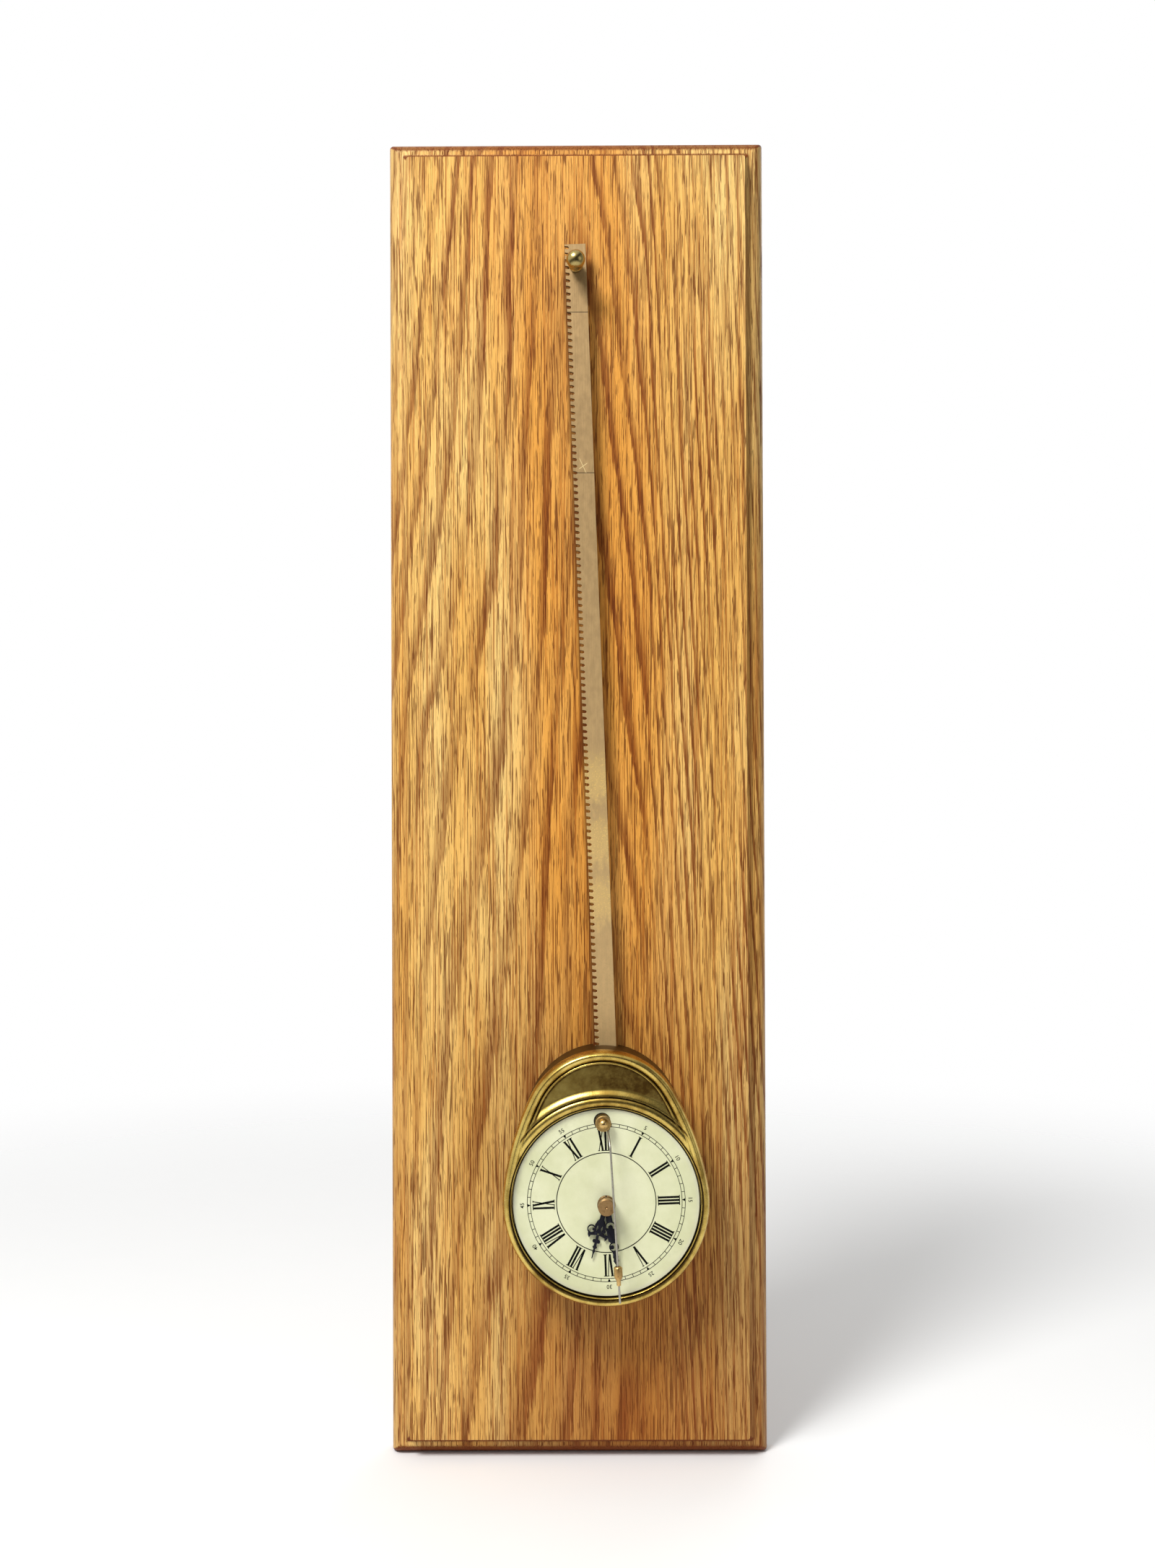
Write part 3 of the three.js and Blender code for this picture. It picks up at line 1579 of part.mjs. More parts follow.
const swinging = new THREE.Group();
swinging.position.set(palletAt.x, 0, palletAt.y);
swinging.rotation.y = -pendulum.lean;
clockGroup.add(swinging);
makePallets(swinging);
makePendulum(swinging);

export default gravityClock;
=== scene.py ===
import math

import bpy
from mathutils import Matrix, Vector


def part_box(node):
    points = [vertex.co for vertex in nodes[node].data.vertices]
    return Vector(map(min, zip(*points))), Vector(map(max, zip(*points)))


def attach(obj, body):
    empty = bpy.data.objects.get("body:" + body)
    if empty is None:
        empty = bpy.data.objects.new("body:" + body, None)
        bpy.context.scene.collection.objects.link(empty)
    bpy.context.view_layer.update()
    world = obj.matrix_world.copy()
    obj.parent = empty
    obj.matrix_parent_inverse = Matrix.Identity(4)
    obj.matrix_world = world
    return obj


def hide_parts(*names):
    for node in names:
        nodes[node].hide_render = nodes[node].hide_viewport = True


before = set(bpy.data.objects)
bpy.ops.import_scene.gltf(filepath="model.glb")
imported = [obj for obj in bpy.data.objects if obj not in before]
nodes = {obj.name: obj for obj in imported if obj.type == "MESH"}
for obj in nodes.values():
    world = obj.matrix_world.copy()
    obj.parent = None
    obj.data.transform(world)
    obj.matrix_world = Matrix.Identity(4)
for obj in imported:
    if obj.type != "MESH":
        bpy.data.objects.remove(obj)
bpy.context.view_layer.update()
metre = 0.001  # pieces are modelled in millimetres, then scaled once
quarter = math.pi / 2


# Working helpers
def assign(thing, **values):
    for key, value in values.items():
        setattr(thing, key, value)


def choose(*pieces):
    bpy.ops.object.select_all(action="DESELECT")
    for piece in pieces:
        piece.select_set(True)
    bpy.context.view_layer.objects.active = pieces[0]


def named(piece, name):
    piece.name = piece.data.name = name
    return piece


def selectAll():
    bpy.ops.mesh.select_all(action="SELECT")


def edit(piece):
    choose(piece)
    bpy.ops.object.mode_set(mode="EDIT")
    selectAll()


def faceOut():
    selectAll()
    bpy.ops.mesh.normals_make_consistent(inside=False)


def leave():
    bpy.ops.object.mode_set(mode="OBJECT")


def weld(reach):  # joins vertices nearer than reach, turns the faces outwards and leaves
    selectAll()
    bpy.ops.mesh.remove_doubles(threshold=reach)
    faceOut()
    leave()


def pushForward(distance, shrinkX=1, shrinkZ=None):
    bpy.ops.mesh.extrude_region_move(TRANSFORM_OT_translate={"value": (0, -distance, 0)})
    if shrinkX != 1 or shrinkZ:
        bpy.ops.transform.resize(value=(shrinkX, 1, shrinkZ or shrinkX))


def outlinePiece(name, outline, back, front=None):  # a flat patch, or a plate where front is given
    bpy.ops.mesh.primitive_circle_add(vertices=len(outline), radius=1, fill_type="NGON")
    piece = named(bpy.context.object, name)
    for vertex, (x, z) in zip(piece.data.vertices, outline):
        vertex.co = (x, -back, z)
    edit(piece)
    if front is not None:
        pushForward(front - back)
        faceOut()
    leave()
    return piece


def turns(count):  # the angles of a circle's corners
    return [2 * math.pi * i / count for i in range(count)]


def polar(reach, angle):
    return reach * math.cos(angle), reach * math.sin(angle)


def ringOf(radius, count, x=0, z=0):
    return [(x + radius * math.cos(a), z + radius * math.sin(a)) for a in turns(count)]


def boxOutline(x, z, width, height):
    corners = ((-1, -1), (1, -1), (1, 1), (-1, 1))
    return [(x + width / 2 * i, z + height / 2 * j) for i, j in corners]


def turnedPiece(name, profile, sides=64):  # profile: radius and depth, from the back forwards
    radius, depth = profile[0]
    bpy.ops.mesh.primitive_circle_add(
        vertices=sides, radius=radius, fill_type="NGON", location=(0, -depth, 0), rotation=(quarter, 0, 0)
    )
    piece = named(bpy.context.object, name)
    bpy.ops.object.transform_apply()
    edit(piece)
    for nextRadius, nextDepth in profile[1:]:
        pushForward(nextDepth - depth, nextRadius / radius)
        radius, depth = nextRadius, nextDepth
    faceOut()
    leave()
    return piece


def rollOff(centre, radius, start, end, steps):  # an arc of a turned profile
    angles = [start + (end - start) * i / steps for i in range(steps + 1)]
    return [(max(radius * math.sin(a), 0.02), centre - radius * math.cos(a)) for a in angles]


def joined(name, pieces):
    choose(*pieces)
    bpy.ops.object.join()
    return named(pieces[0], name)


def carve(piece, tool, operation="DIFFERENCE"):
    choose(piece)
    modifier = piece.modifiers.new("carve", "BOOLEAN")
    assign(modifier, operation=operation, object=tool, solver="EXACT")
    bpy.ops.object.modifier_apply(modifier=modifier.name)
    bpy.data.objects.remove(tool)
    return piece


def drill(piece, outline, back, front, operation="DIFFERENCE"):
    return carve(piece, outlinePiece("tool", outline, back, front), operation)


def soften(piece, width, segments=2, angle=35):
    choose(piece)
    modifier = piece.modifiers.new("soften", "BEVEL")
    assign(modifier, width=width, segments=segments, limit_method="ANGLE", angle_limit=math.radians(angle))
    bpy.ops.object.modifier_apply(modifier=modifier.name)
    return piece


def smooth(piece, angle=32):
    choose(piece)
    bpy.ops.object.shade_smooth_by_angle(angle=math.radians(angle))
    return piece


def setDown(piece, place, finish, body, *stoodFor, slot=None):
    piece.matrix_world = place @ Matrix.Scale(metre, 4) @ piece.matrix_world
    choose(piece)
    bpy.ops.object.transform_apply()
    piece.data.materials.clear()
    piece.data.materials.append(finish)
    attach(piece, body)
    if stoodFor:
        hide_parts(*stoodFor)


def mergedCopy(node, name):  # a CAD solid with its loose triangles joined up, in millimetres
    piece = named(bpy.data.objects.new(name, nodes[node].data.copy()), name)
    bpy.context.scene.collection.objects.link(piece)
    piece.data.transform(Matrix.Scale(1 / metre, 4))
    edit(piece)
    bpy.ops.mesh.remove_doubles(threshold=0.002)
    bpy.ops.mesh.dissolve_limited(angle_limit=math.radians(0.5))
    leave()
    return piece


def turnAbout(axis, degrees):
    return Matrix.Rotation(math.radians(degrees), 4, axis)


def placeAt(x, z, lean=0):
    return Matrix.Translation((x * metre, 0, z * metre)) @ turnAbout("Y", lean)


rowFrame = Matrix.Identity(4)
rackTilt = -2
pinHeight = 255
rackAside = 2.65  # the rack's middle, right of the dial's centre
clockDrop = 445.5  # from the post to the dial's centre
palletHeight = 37.8
arborBore = 1.2
hangingFrame = placeAt(0, pinHeight, rackTilt)
clockFrame = hangingFrame @ placeAt(-rackAside, -clockDrop)
pendulumFrame = clockFrame @ placeAt(0, palletHeight, -3.2)


# Shader helpers
def paint(red, green, blue):  # screen colour, 0 to 255
    shares = [c / 255 for c in (red, green, blue)]
    return (*[s / 12.92 if s <= 0.04 else ((s + 0.055) / 1.055) ** 2.4 for s in shares], 1)


class Wire:  # one output socket that takes part in sums
    def __init__(self, finish, socket):
        self.finish = finish
        self.socket = socket

    def sum(self, operation, *values):
        return self.finish.node("Math", {"operation": operation}, dict(enumerate(values)))

    def __add__(self, other):
        return self.sum("ADD", self, other)

    def __sub__(self, other):
        return self.sum("SUBTRACT", self, other)

    def __mul__(self, other):
        return self.sum("MULTIPLY", self, other)

    def __truediv__(self, other):
        return self.sum("DIVIDE", self, other)

    def __rsub__(self, other):
        return self.sum("SUBTRACT", other, self)

    __radd__ = __add__
    __rmul__ = __mul__

    def root(self):
        return self.sum("SQRT", self)

    def part(self):
        return self.sum("FRACT", self)

    def size(self):
        return self.sum("ABSOLUTE", self)

    def most(self, other):
        return self.sum("MAXIMUM", self, other)

    def least(self, other):
        return self.sum("MINIMUM", self, other)

    def step(self, low, high):  # 0 below low, 1 above high
        settings = {"interpolation_type": "SMOOTHSTEP"}
        return self.finish.node("MapRange", settings, {"Value": self, "From Min": low, "From Max": high})

    def within(self, inner, outer):  # 1 nearer to 0 than inner, 0 farther off than outer
        return 1 - self.size().step(inner, outer)


class Finish:  # the nodes of one material, or of the world
    def __init__(self, name, base=None, kind="materials"):
        self.owner = getattr(bpy.data, kind).new(name)
        self.owner.use_nodes = True
        self.tree = self.owner.node_tree
        self.tree.nodes.clear()
        self.colour = base and paint(*base)
        self.spot = base and self.place()

    def node(self, kind, settings=None, values=None, output=0):
        made = self.tree.nodes.new("ShaderNode" + kind)
        assign(made, **(settings or {}))
        for key, value in (values or {}).items():
            if isinstance(value, Wire):
                self.tree.links.new(value.socket, made.inputs[key])
            else:
                made.inputs[key].default_value = value
        return Wire(self, made.outputs[output]) if len(made.outputs) else None

    def place(self, shift=(0, 0, 0)):  # millimetres on the object
        values = {"Vector": self.node("TexCoord", output=3), "Scale": (1 / metre,) * 3, "Location": shift}
        return self.node("Mapping", None, values)

    def parts(self, vector):
        return [self.node("SeparateXYZ", None, {0: vector}, i) for i in range(3)]

    def noise(self, scale, detail=2, roughness=0.5):
        stretch = scale if isinstance(scale, tuple) else (scale,) * 3
        spot = self.node("VectorMath", {"operation": "MULTIPLY"}, {0: self.spot, 1: stretch})
        values = {"Vector": spot, "Scale": 1, "Detail": detail, "Roughness": roughness}
        return self.node("TexNoise", None, values)

    def mix(self, factor, first, second):
        return self.node("Mix", {"data_type": "RGBA"}, {0: factor, 6: first, 7: second}, 2)

    def layer(self, factor, over):  # lays a screen colour over those before it
        self.colour = self.mix(factor, self.colour, paint(*over))

    def bump(self, height, strength, distance):
        return self.node("Bump", None, {"Height": height, "Strength": strength, "Distance": distance})

    def done(self, **sockets):
        names = {"specular": "Specular IOR Level"}
        values = {names.get(key, key.capitalize()): value for key, value in sockets.items()}
        shader = self.node("BsdfPrincipled", None, {"Base Color": self.colour, **values})
        self.node("OutputMaterial", None, {"Surface": shader})
        return self.owner


# Oak: year rings about a pith line behind the board, with a swirl at the left, dark bands, long pores and
# dashes. Painted shade darkens it towards the foot and on the mouldings, and a painted shadow lies behind the
# rack's teeth.
oakLook = {
    "pale": (255, 216, 134), "straw": (246, 194, 104), "gold": (238, 166, 72), "fibre": (196, 130, 56),
    "streak": (170, 92, 26), "band": (132, 62, 16), "foot": (120, 58, 14), "rackShadow": (70, 36, 12),
    "mouldingShade": (118, 58, 18), "pore": (100, 44, 4), "axisShift": 10, "axisLean": -0.05,
    "pithDepth": 34, "rise": 0.075, "swirl": 0.12, "lowSwirl": 0.02, "ringWidth": 8.4,
    "closeRings": 0.13, "rackShadowAside": -3.6, "rackShadowFoot": -218,
}


def makeOak():
    look = oakLook
    oak = Finish("honeyOak", look["pale"])
    x, y, z = oak.parts(oak.spot)
    drift = oak.noise((0.016, 0.016, 0.0055), 2) - 0.5
    jag = oak.noise((1.3, 1.3, 0.03), 3, 0.6) - 0.5
    aside = x - z * look["axisLean"] - look["axisShift"] + drift * 17
    behind = y + look["pithDepth"]
    left = (aside * -1).step(20, 100)
    swirl = (z.most(40) - 300) * look["swirl"] + (z.least(40) - 40) * look["lowSwirl"]
    reach = (aside * aside + behind * behind).root() + z * look["rise"] + swirl * left
    rings = reach / look["ringWidth"] + (x - 34).most(0) * look["closeRings"]
    year = (rings + jag * 0.5).part()
    strength = oak.noise((0.05, 0.05, 0.0045), 2).step(0.4, 0.6)
    band = year.step(0, 0.04) * (1 - year.step(0.12, 0.5)) * (strength * 0.55 + 0.45) * (1 - left * 0.3)
    long = oak.noise((1.1, 1.1, 0.016), 1, 0.5)
    breaks = oak.noise((0.8, 0.8, 0.045), 2, 0.6).step(0.43, 0.49)
    line = (long - 0.5).within(0.024, 0.05) * breaks
    dashes = (oak.noise((2.4, 2.4, 0.085), 1, 0.5) + band * 0.07).step(0.645, 0.7)
    flecks = oak.noise((3.2, 3.2, 0.2), 1, 0.5).step(0.65, 0.72)
    pores = (line + dashes + flecks * 0.5).least(1)
    fibre = oak.noise((4.5, 4.5, 0.05), 3, 0.6)
    broad = oak.noise((0.04, 0.04, 0.004), 2).step(0.35, 0.65)
    middle = aside.within(18, 52) * 0.8
    streak = oak.noise((1.5, 1.5, 0.012), 2, 0.6).step(0.52, 0.6)
    # painted shade: the board gets darker towards its foot, as if the light falls off downwards
    low = (z * -1).step(-10, 300) * (1 - left * 0.75)
    oak.layer(broad, look["straw"])
    oak.layer((middle + broad * 0.2).least(1), look["gold"])
    oak.layer(fibre.step(0.38, 0.66) * 0.32, look["fibre"])
    oak.layer(streak * 0.58, look["streak"])
    oak.layer(band * 0.84, look["band"])
    oak.layer(low * 0.56, look["foot"])
    # painted shadow: a dark strip on the board right behind the rack's teeth, seen through the slots
    above = z - pinHeight
    across = x + above * math.tan(math.radians(-rackTilt)) - look["rackShadowAside"]
    rackShadow = across.within(1.6, 3.4) * (1 - above.step(4, 11))
    rackShadow = rackShadow * (z - look["rackShadowFoot"]).step(0, 6) * (y * -1).step(15, 18)
    oak.layer(rackShadow * 0.7, look["rackShadow"])
    # painted shade: moulding faces turned up, down or sideways are darkened, and downward ones most
    sideways, _, upwards = oak.parts(oak.node("TexCoord", output=1))
    ends = upwards.size().step(0.04, 0.4)
    sides = sideways.size().step(0.04, 0.3) * (1 - sideways.size().step(0.5, 0.95) * 0.5)
    oak.layer((ends * 0.86 + upwards.least(0) * -0.2 + sides * 0.26).least(1), look["mouldingShade"])
    oak.layer(pores * 0.82, look["pore"])
    rough = 0.36 + pores * 0.22 + fibre * 0.08
    dips = oak.bump(1 - pores + fibre * 0.3, 0.4, 0.00025)
    return oak.done(roughness=rough, normal=dips, specular=0.16)


def makeBrass(name, bright, deep, darkening, roughness):
    brass = Finish(name, bright)
    cloud = brass.noise(0.09, 4, 0.6)
    speck = brass.noise(0.9, 3, 0.65)
    haze = brass.noise((0.4, 2.6, 0.4), 2)
    tarnish = (cloud.step(0.38, 0.72) * 0.6 + speck.step(0.52, 0.74) * darkening).least(1)
    brass.layer(tarnish, deep)
    rough = roughness + tarnish * 0.18 + haze * 0.08
    return brass.done(roughness=rough, metallic=1.0, normal=brass.bump(speck + cloud, 0.12, 0.0002))


# Case brass: clouded, and darkened by a map made on the case: patina in its grooves, painted shade on the
# right of the panel and down the opening's inner wall, darkest on the side wall
caseLook = {"bright": (220, 194, 108), "dull": (168, 136, 62), "dirtAndShade": (80, 58, 24)}


def makeCaseBrass():
    brass = Finish("agedCaseBrass", caseLook["bright"])
    grimeAndShade = brass.node("Attribute", {"attribute_name": "grimeAndShade"}, None, 2)
    cloud = brass.noise(0.07, 4, 0.62)
    mottle = brass.noise(0.42, 4, 0.7)
    speck = brass.noise(1.7, 2, 0.6)
    darkening = grimeAndShade * (0.4 + mottle * 1.1) + cloud.step(0.45, 0.75) * 0.3
    darkening = (darkening + speck.step(0.62, 0.75) * 0.16).least(1)
    brass.layer(cloud.step(0.3, 0.7), caseLook["dull"])
    brass.layer(darkening, caseLook["dirtAndShade"])
    rough = 0.21 + darkening * 0.26 + mottle * 0.08
    dents = brass.bump(mottle + speck * 0.4, 0.16, 0.0003)
    return brass.done(roughness=rough, metallic=1.0, normal=dents)


# Rack brass: distances are down from the post; each bright patch starts, is full, fades and ends
rackLook = {
    "warm": (184, 152, 104), "dull": (166, 136, 92), "scratch": (122, 100, 66),
    "bright": (250, 214, 124), "speck": (110, 86, 52), "lower": (250, 212, 150), "scribe": (70, 56, 36),
    "cross": (240, 218, 160), "edge": (70, 52, 32),
    "patches": ((230, 246, 250, 264), (262, 274, 280, 292), (290, 300, 306, 322)),
    "scribes": (21.6, 99.2), "crossAt": 95.6,
}


def makeRackBrass():
    look = rackLook
    brass = Finish("tarnishedRackBrass", look["warm"])
    x, y, z = brass.parts(brass.spot)
    along = pinHeight - z
    mottle = brass.noise((0.42, 0.42, 0.2), 4, 0.62)
    reach = along + mottle * 26 - 13
    bright = sum(reach.step(a, b) * (1 - reach.step(c, d)) for a, b, c, d in look["patches"]).least(1)
    scratch = brass.noise((3.2, 3.2, 0.09), 3, 0.65)
    speck = brass.noise(1.5, 3, 0.7).step(0.52, 0.68)
    low = along.step(290, 345)
    brass.layer(mottle.step(0.3, 0.72), look["dull"])
    brass.layer(scratch.step(0.4, 0.75) * 0.3, look["scratch"])
    brass.layer(bright * (speck * 0.6 + 0.4), look["bright"])
    brass.layer((1 - bright) * low * speck * 0.4, look["speck"])
    # painted light: the bar is made lighter further down, against the lamp's falloff
    brass.layer(along.step(60, 420) * 0.45, look["lower"])
    first, second = [(along - at).within(0.12, 0.34) for at in look["scribes"]]
    scribe = first.most(second)
    below = along - look["crossAt"]
    arms = (below - (x - 3) * 2.2).within(0.16, 0.5).most((below + (x - 3.6) * 0.7).within(0.1, 0.3))
    cross = arms * below.within(3, 4) * (x - 3.2).within(1.6, 2.2)
    brass.layer(scribe * 0.8, look["scribe"])
    brass.layer(cross * 0.75, look["cross"])
    # painted shade: faces that do not look front or back, the teeth's flanks and the bar's sides, are
    # darkened
    facing = brass.parts(brass.node("TexCoord", output=1))[1].size().step(0.35, 0.9)
    brass.layer((1 - facing) * 0.75, look["edge"])
    rough = 0.5 - bright * speck * 0.14 + scratch * 0.1
    dents = brass.bump(mottle * 0.25 + scratch * 0.3 - scribe, 0.2, 0.0002)
    return brass.done(roughness=rough, metallic=0.6, normal=dents)


def makeSteel(name, bright, deep, roughness):
    steel = Finish(name, bright)
    drawn = steel.noise((3, 3, 0.2), 3, 0.6)
    spots = steel.noise(0.8, 3, 0.7).step(0.55, 0.75)
    steel.layer(spots, deep)
    rough = roughness + drawn * 0.15 + spots * 0.15
    return steel.done(roughness=rough, metallic=1.0, normal=steel.bump(drawn, 0.12, 0.0001))


# Dial paint: cream with faint stains, a pale margin, a painted shadow on the stepped rim and a painted shadow
# round the upper hole
dialLook = {
    "cream": (231, 232, 194), "deep": (216, 218, 174), "stain": (200, 200, 158),
    "grain": (206, 204, 160), "margin": (214, 214, 196), "rim": (14, 12, 10), "hole": (12, 10, 8),
    "holeAside": -1.85, "holeRise": 0.35,
}


def makeDialPaint():
    look = dialLook
    cream = Finish("creamDial", look["cream"])
    x, y, z = cream.parts(cream.place(clockFrame.translation / -metre))
    reach = (x * x + z * z).root()
    cloud = cream.noise(0.05, 3, 0.6)
    grain = cream.noise(1.3, 3, 0.6)
    stain = cream.noise(0.16, 3, 0.6).step(0.58, 0.8)
    cream.layer(cloud.step(0.3, 0.7), look["deep"])
    cream.layer(stain * 0.35, look["stain"])
    cream.layer(grain.step(0.3, 0.8) * 0.12, look["grain"])
    cream.layer(reach.step(41.5, 43.3) * 0.4, look["margin"])
    # painted shadow: the step round the face is black, standing for the shadowed gap under the bezel
    cream.layer(reach.step(43.66, 43.74), look["rim"])
    # painted shadow: a black ring round the upper hole, so it reads as a dark hole
    holeX, holeZ = x - look["holeAside"], z - palletHeight - look["holeRise"]
    hole = (holeX * holeX + holeZ * holeZ).root()
    cream.layer(1 - hole.step(3.85, 4), look["hole"])
    return cream.done(roughness=0.34 + grain * 0.12, normal=cream.bump(grain, 0.08, 0.0001))


def makeBlack(name, tone, worn, roughness):
    black = Finish(name, tone)
    grain = black.noise(1.6, 3, 0.6)
    wear = black.noise(0.7, 2, 0.6).step(0.55, 0.75)
    black.layer(wear * 0.5, worn)
    dents = black.bump(grain, 0.15, 0.0001)
    return black.done(specular=0.25, roughness=roughness + grain * 0.15, metallic=0.25, normal=dents)


def makeInk():
    ink = Finish("dialInk", (6, 7, 5))
    grain = ink.noise(2.4, 3, 0.6)
    ink.layer(grain.step(0.35, 0.8), (20, 20, 15))
    return ink.done(specular=0.08, roughness=0.5 + grain * 0.1)


oakFinish = makeOak()
caseFinish = makeCaseBrass()
rackFinish = makeRackBrass()
ballFinish = makeBrass("polishedBall", (180, 160, 102), (106, 88, 50), 0.35, 0.2)
fittingFinish = makeBrass("warmFittingBrass", (208, 174, 112), (136, 102, 60), 0.4, 0.22)
knobFinish = makeBrass("bronzedKnob", (168, 134, 90), (100, 74, 46), 0.6, 0.32)
movementFinish = makeBrass("movementBrass", (226, 196, 120), (168, 136, 72), 0.25, 0.28)
coverFinish = makeBrass("coverBrass", (186, 160, 90), (96, 78, 42), 0.5, 0.36)
wireFinish = makeSteel("drawnWire", (176, 172, 160), (112, 104, 92), 0.3)
steelFinish = makeSteel("cutSteel", (150, 150, 150), (92, 90, 88), 0.32)
zincFinish = makeSteel("zincPlate", (190, 190, 184), (134, 134, 128), 0.42)
dialFinish = makeDialPaint()
handFinish = makeBlack("bluedBlack", (16, 16, 26), (52, 54, 72), 0.34)
inkFinish = makeInk()
print("finishes ready")

# Every solid that stays gets its finish here
finishOf = {
    "oak": oakFinish,
    "case_brass": coverFinish,
    "rack_brass": fittingFinish,
    "movement_brass": movementFinish,
    "steel": steelFinish,
    "dial": dialFinish,
    "black_steel": handFinish,
}
for node in nodes.values():
    given = node.data.materials[0].name.split(".")[0] if node.data.materials else "steel"
    node.data.materials.clear()
    node.data.materials.append(finishOf.get(given, steelFinish))

# Backboard: a plank with a moulded edge: a step, a cove, a flat and a round
board = {
    "width": 184, "height": 643.5, "thickness": 19, "cornerRadius": 1.4, "lipDrop": 0.9,
    "coveWidth": 3.4, "coveDrop": 4.9, "fillet": 0.7, "roundWidth": 5.3, "roundDrop": 7.7, "steps": 10,
    "hangerDrop": 37, "recessSize": (44.6, 16.6), "recessDepth": 2.2, "pocketSize": (26, 15.4),
    "pocketDepth": 10, "screwAside": 16, "broadFace": 400,
}


def mouldingSteps():  # from the edge inwards: how far in, and the depth there
    steps = board["steps"]
    angles = [quarter * (1 - i / steps) for i in range(steps + 1)]
    reach = board["coveWidth"] + board["fillet"] + board["roundWidth"]
    places = []
    for angle in angles:
        drop = board["lipDrop"] + board["coveDrop"] + board["roundDrop"] * (1 - math.cos(angle))
        places.append((board["roundWidth"] * (1 - math.sin(angle)), board["thickness"] - drop))
    for angle in angles:
        inset = reach - board["coveWidth"] * (1 - math.cos(angle))
        places.append((inset, board["thickness"] - board["lipDrop"] - board["coveDrop"] * math.sin(angle)))
    return places + [(reach, board["thickness"])]


def makeBoard():
    halfWidth, halfHeight = board["width"] / 2, board["height"] / 2
    bpy.ops.mesh.primitive_plane_add(size=1, rotation=(quarter, 0, 0))
    piece = named(bpy.context.object, "oakBackboard")
    piece.scale = (board["width"], board["height"], 1)
    bpy.ops.object.transform_apply()
    edit(piece)
    bpy.ops.mesh.bevel(offset=board["cornerRadius"], segments=5, affect="VERTICES")
    selectAll()
    inset, depth = 0, 0
    for nextInset, nextDepth in mouldingSteps():
        shrinkX = (halfWidth - nextInset) / (halfWidth - inset)
        shrinkZ = (halfHeight - nextInset) / (halfHeight - inset)
        pushForward(nextDepth - depth, shrinkX, shrinkZ)
        inset, depth = nextInset, nextDepth
    faceOut()
    leave()
    top = halfHeight - board["hangerDrop"]
    drill(piece, boxOutline(0, top, *board["recessSize"]), -1, board["recessDepth"])
    drill(piece, boxOutline(0, top, *board["pocketSize"]), 1, board["pocketDepth"])
    for side in (-1, 1):
        drill(piece, ringOf(1.7, 24, side * board["screwAside"], top), 1, board["pocketDepth"] + 1.3)
    drill(piece, ringOf(2.5, 32, 0, pinHeight), 7.7, 21)
    soften(piece, 0.22, 2, 40)
    smooth(piece, 28)
    for face in piece.data.polygons:
        face.use_smooth = face.use_smooth and face.area < board["broadFace"]
    setDown(piece, rowFrame, oakFinish, "board", "backboard", slot="oak")


makeBoard()
print("backboard done")


# Slotted screws: the head faces forwards, or back where forwards is False
def standingScrew(node, name, headRadius, headHeight, shankRadius, body, forwards=True, finish=steelFinish):
    low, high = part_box(node)
    length = (high.y - low.y) / metre - headHeight
    front = length + headHeight
    profile = [(shankRadius * 0.4, 0), (shankRadius, length * 0.12), (shankRadius, length)]
    profile += [(headRadius * 0.96, length), (headRadius, length + headHeight * 0.15)]
    profile += [(headRadius, length + headHeight * 0.55), (headRadius * 0.8, length + headHeight * 0.9)]
    screw = turnedPiece(name, profile + [(headRadius * 0.4, front)], 32)
    groove = boxOutline(0, 0, headRadius * 0.24, headRadius * 3)
    drill(screw, groove, front - headHeight * 0.45, front + 1)
    smooth(screw, 30)
    place = Matrix.Translation(((low.x + high.x) / 2, high.y if forwards else low.y, (low.z + high.z) / 2))
    turn = turnAbout("Y", 35) if forwards else turnAbout("Z", 180) @ turnAbout("Y", 20)
    setDown(screw, place @ turn, finish, body, node, slot="steel")


standingScrew("hanger_screw_1", "hangerScrewLeft", 2.6, 1.1, 1.4, "board", False, zincFinish)
standingScrew("hanger_screw_2", "hangerScrewRight", 2.6, 1.1, 1.4, "board", False, zincFinish)
standingScrew("rack_stop_screw", "rackStopScrew", 2.4, 1.3, 1.1, "rack_bar")
for number in range(1, 5):
    standingScrew(f"cover_screw_{number}", f"coverScrew{number}", 2.1, 1.1, 1, "clock", False)
    standingScrew(f"plate_screw_{number}", f"plateScrew{number}", 2.1, 1, 1, "clock")
for number in range(1, 4):
    standingScrew(f"case_screw_{number}", f"caseScrew{number}", 1.9, 1, 1, "clock", False)
print("screws done")

# Hanger plate
hangerPlate = soften(mergedCopy("hanger_plate", "keyholeHangerPlate"), 0.18, 2)
setDown(smooth(hangerPlate), rowFrame, zincFinish, "board", "hanger_plate", slot="steel")

# Post: distance sleeve, collar and ball
post = {
    "boreRadius": 2.5, "sleeveRadius": 4.2, "sleeveBack": 19.3, "sleeveFront": 24.7, "neckRadius": 2.8,
    "collarRadius": 3.6, "ballRadius": 4.5, "ballDepth": 39,
}


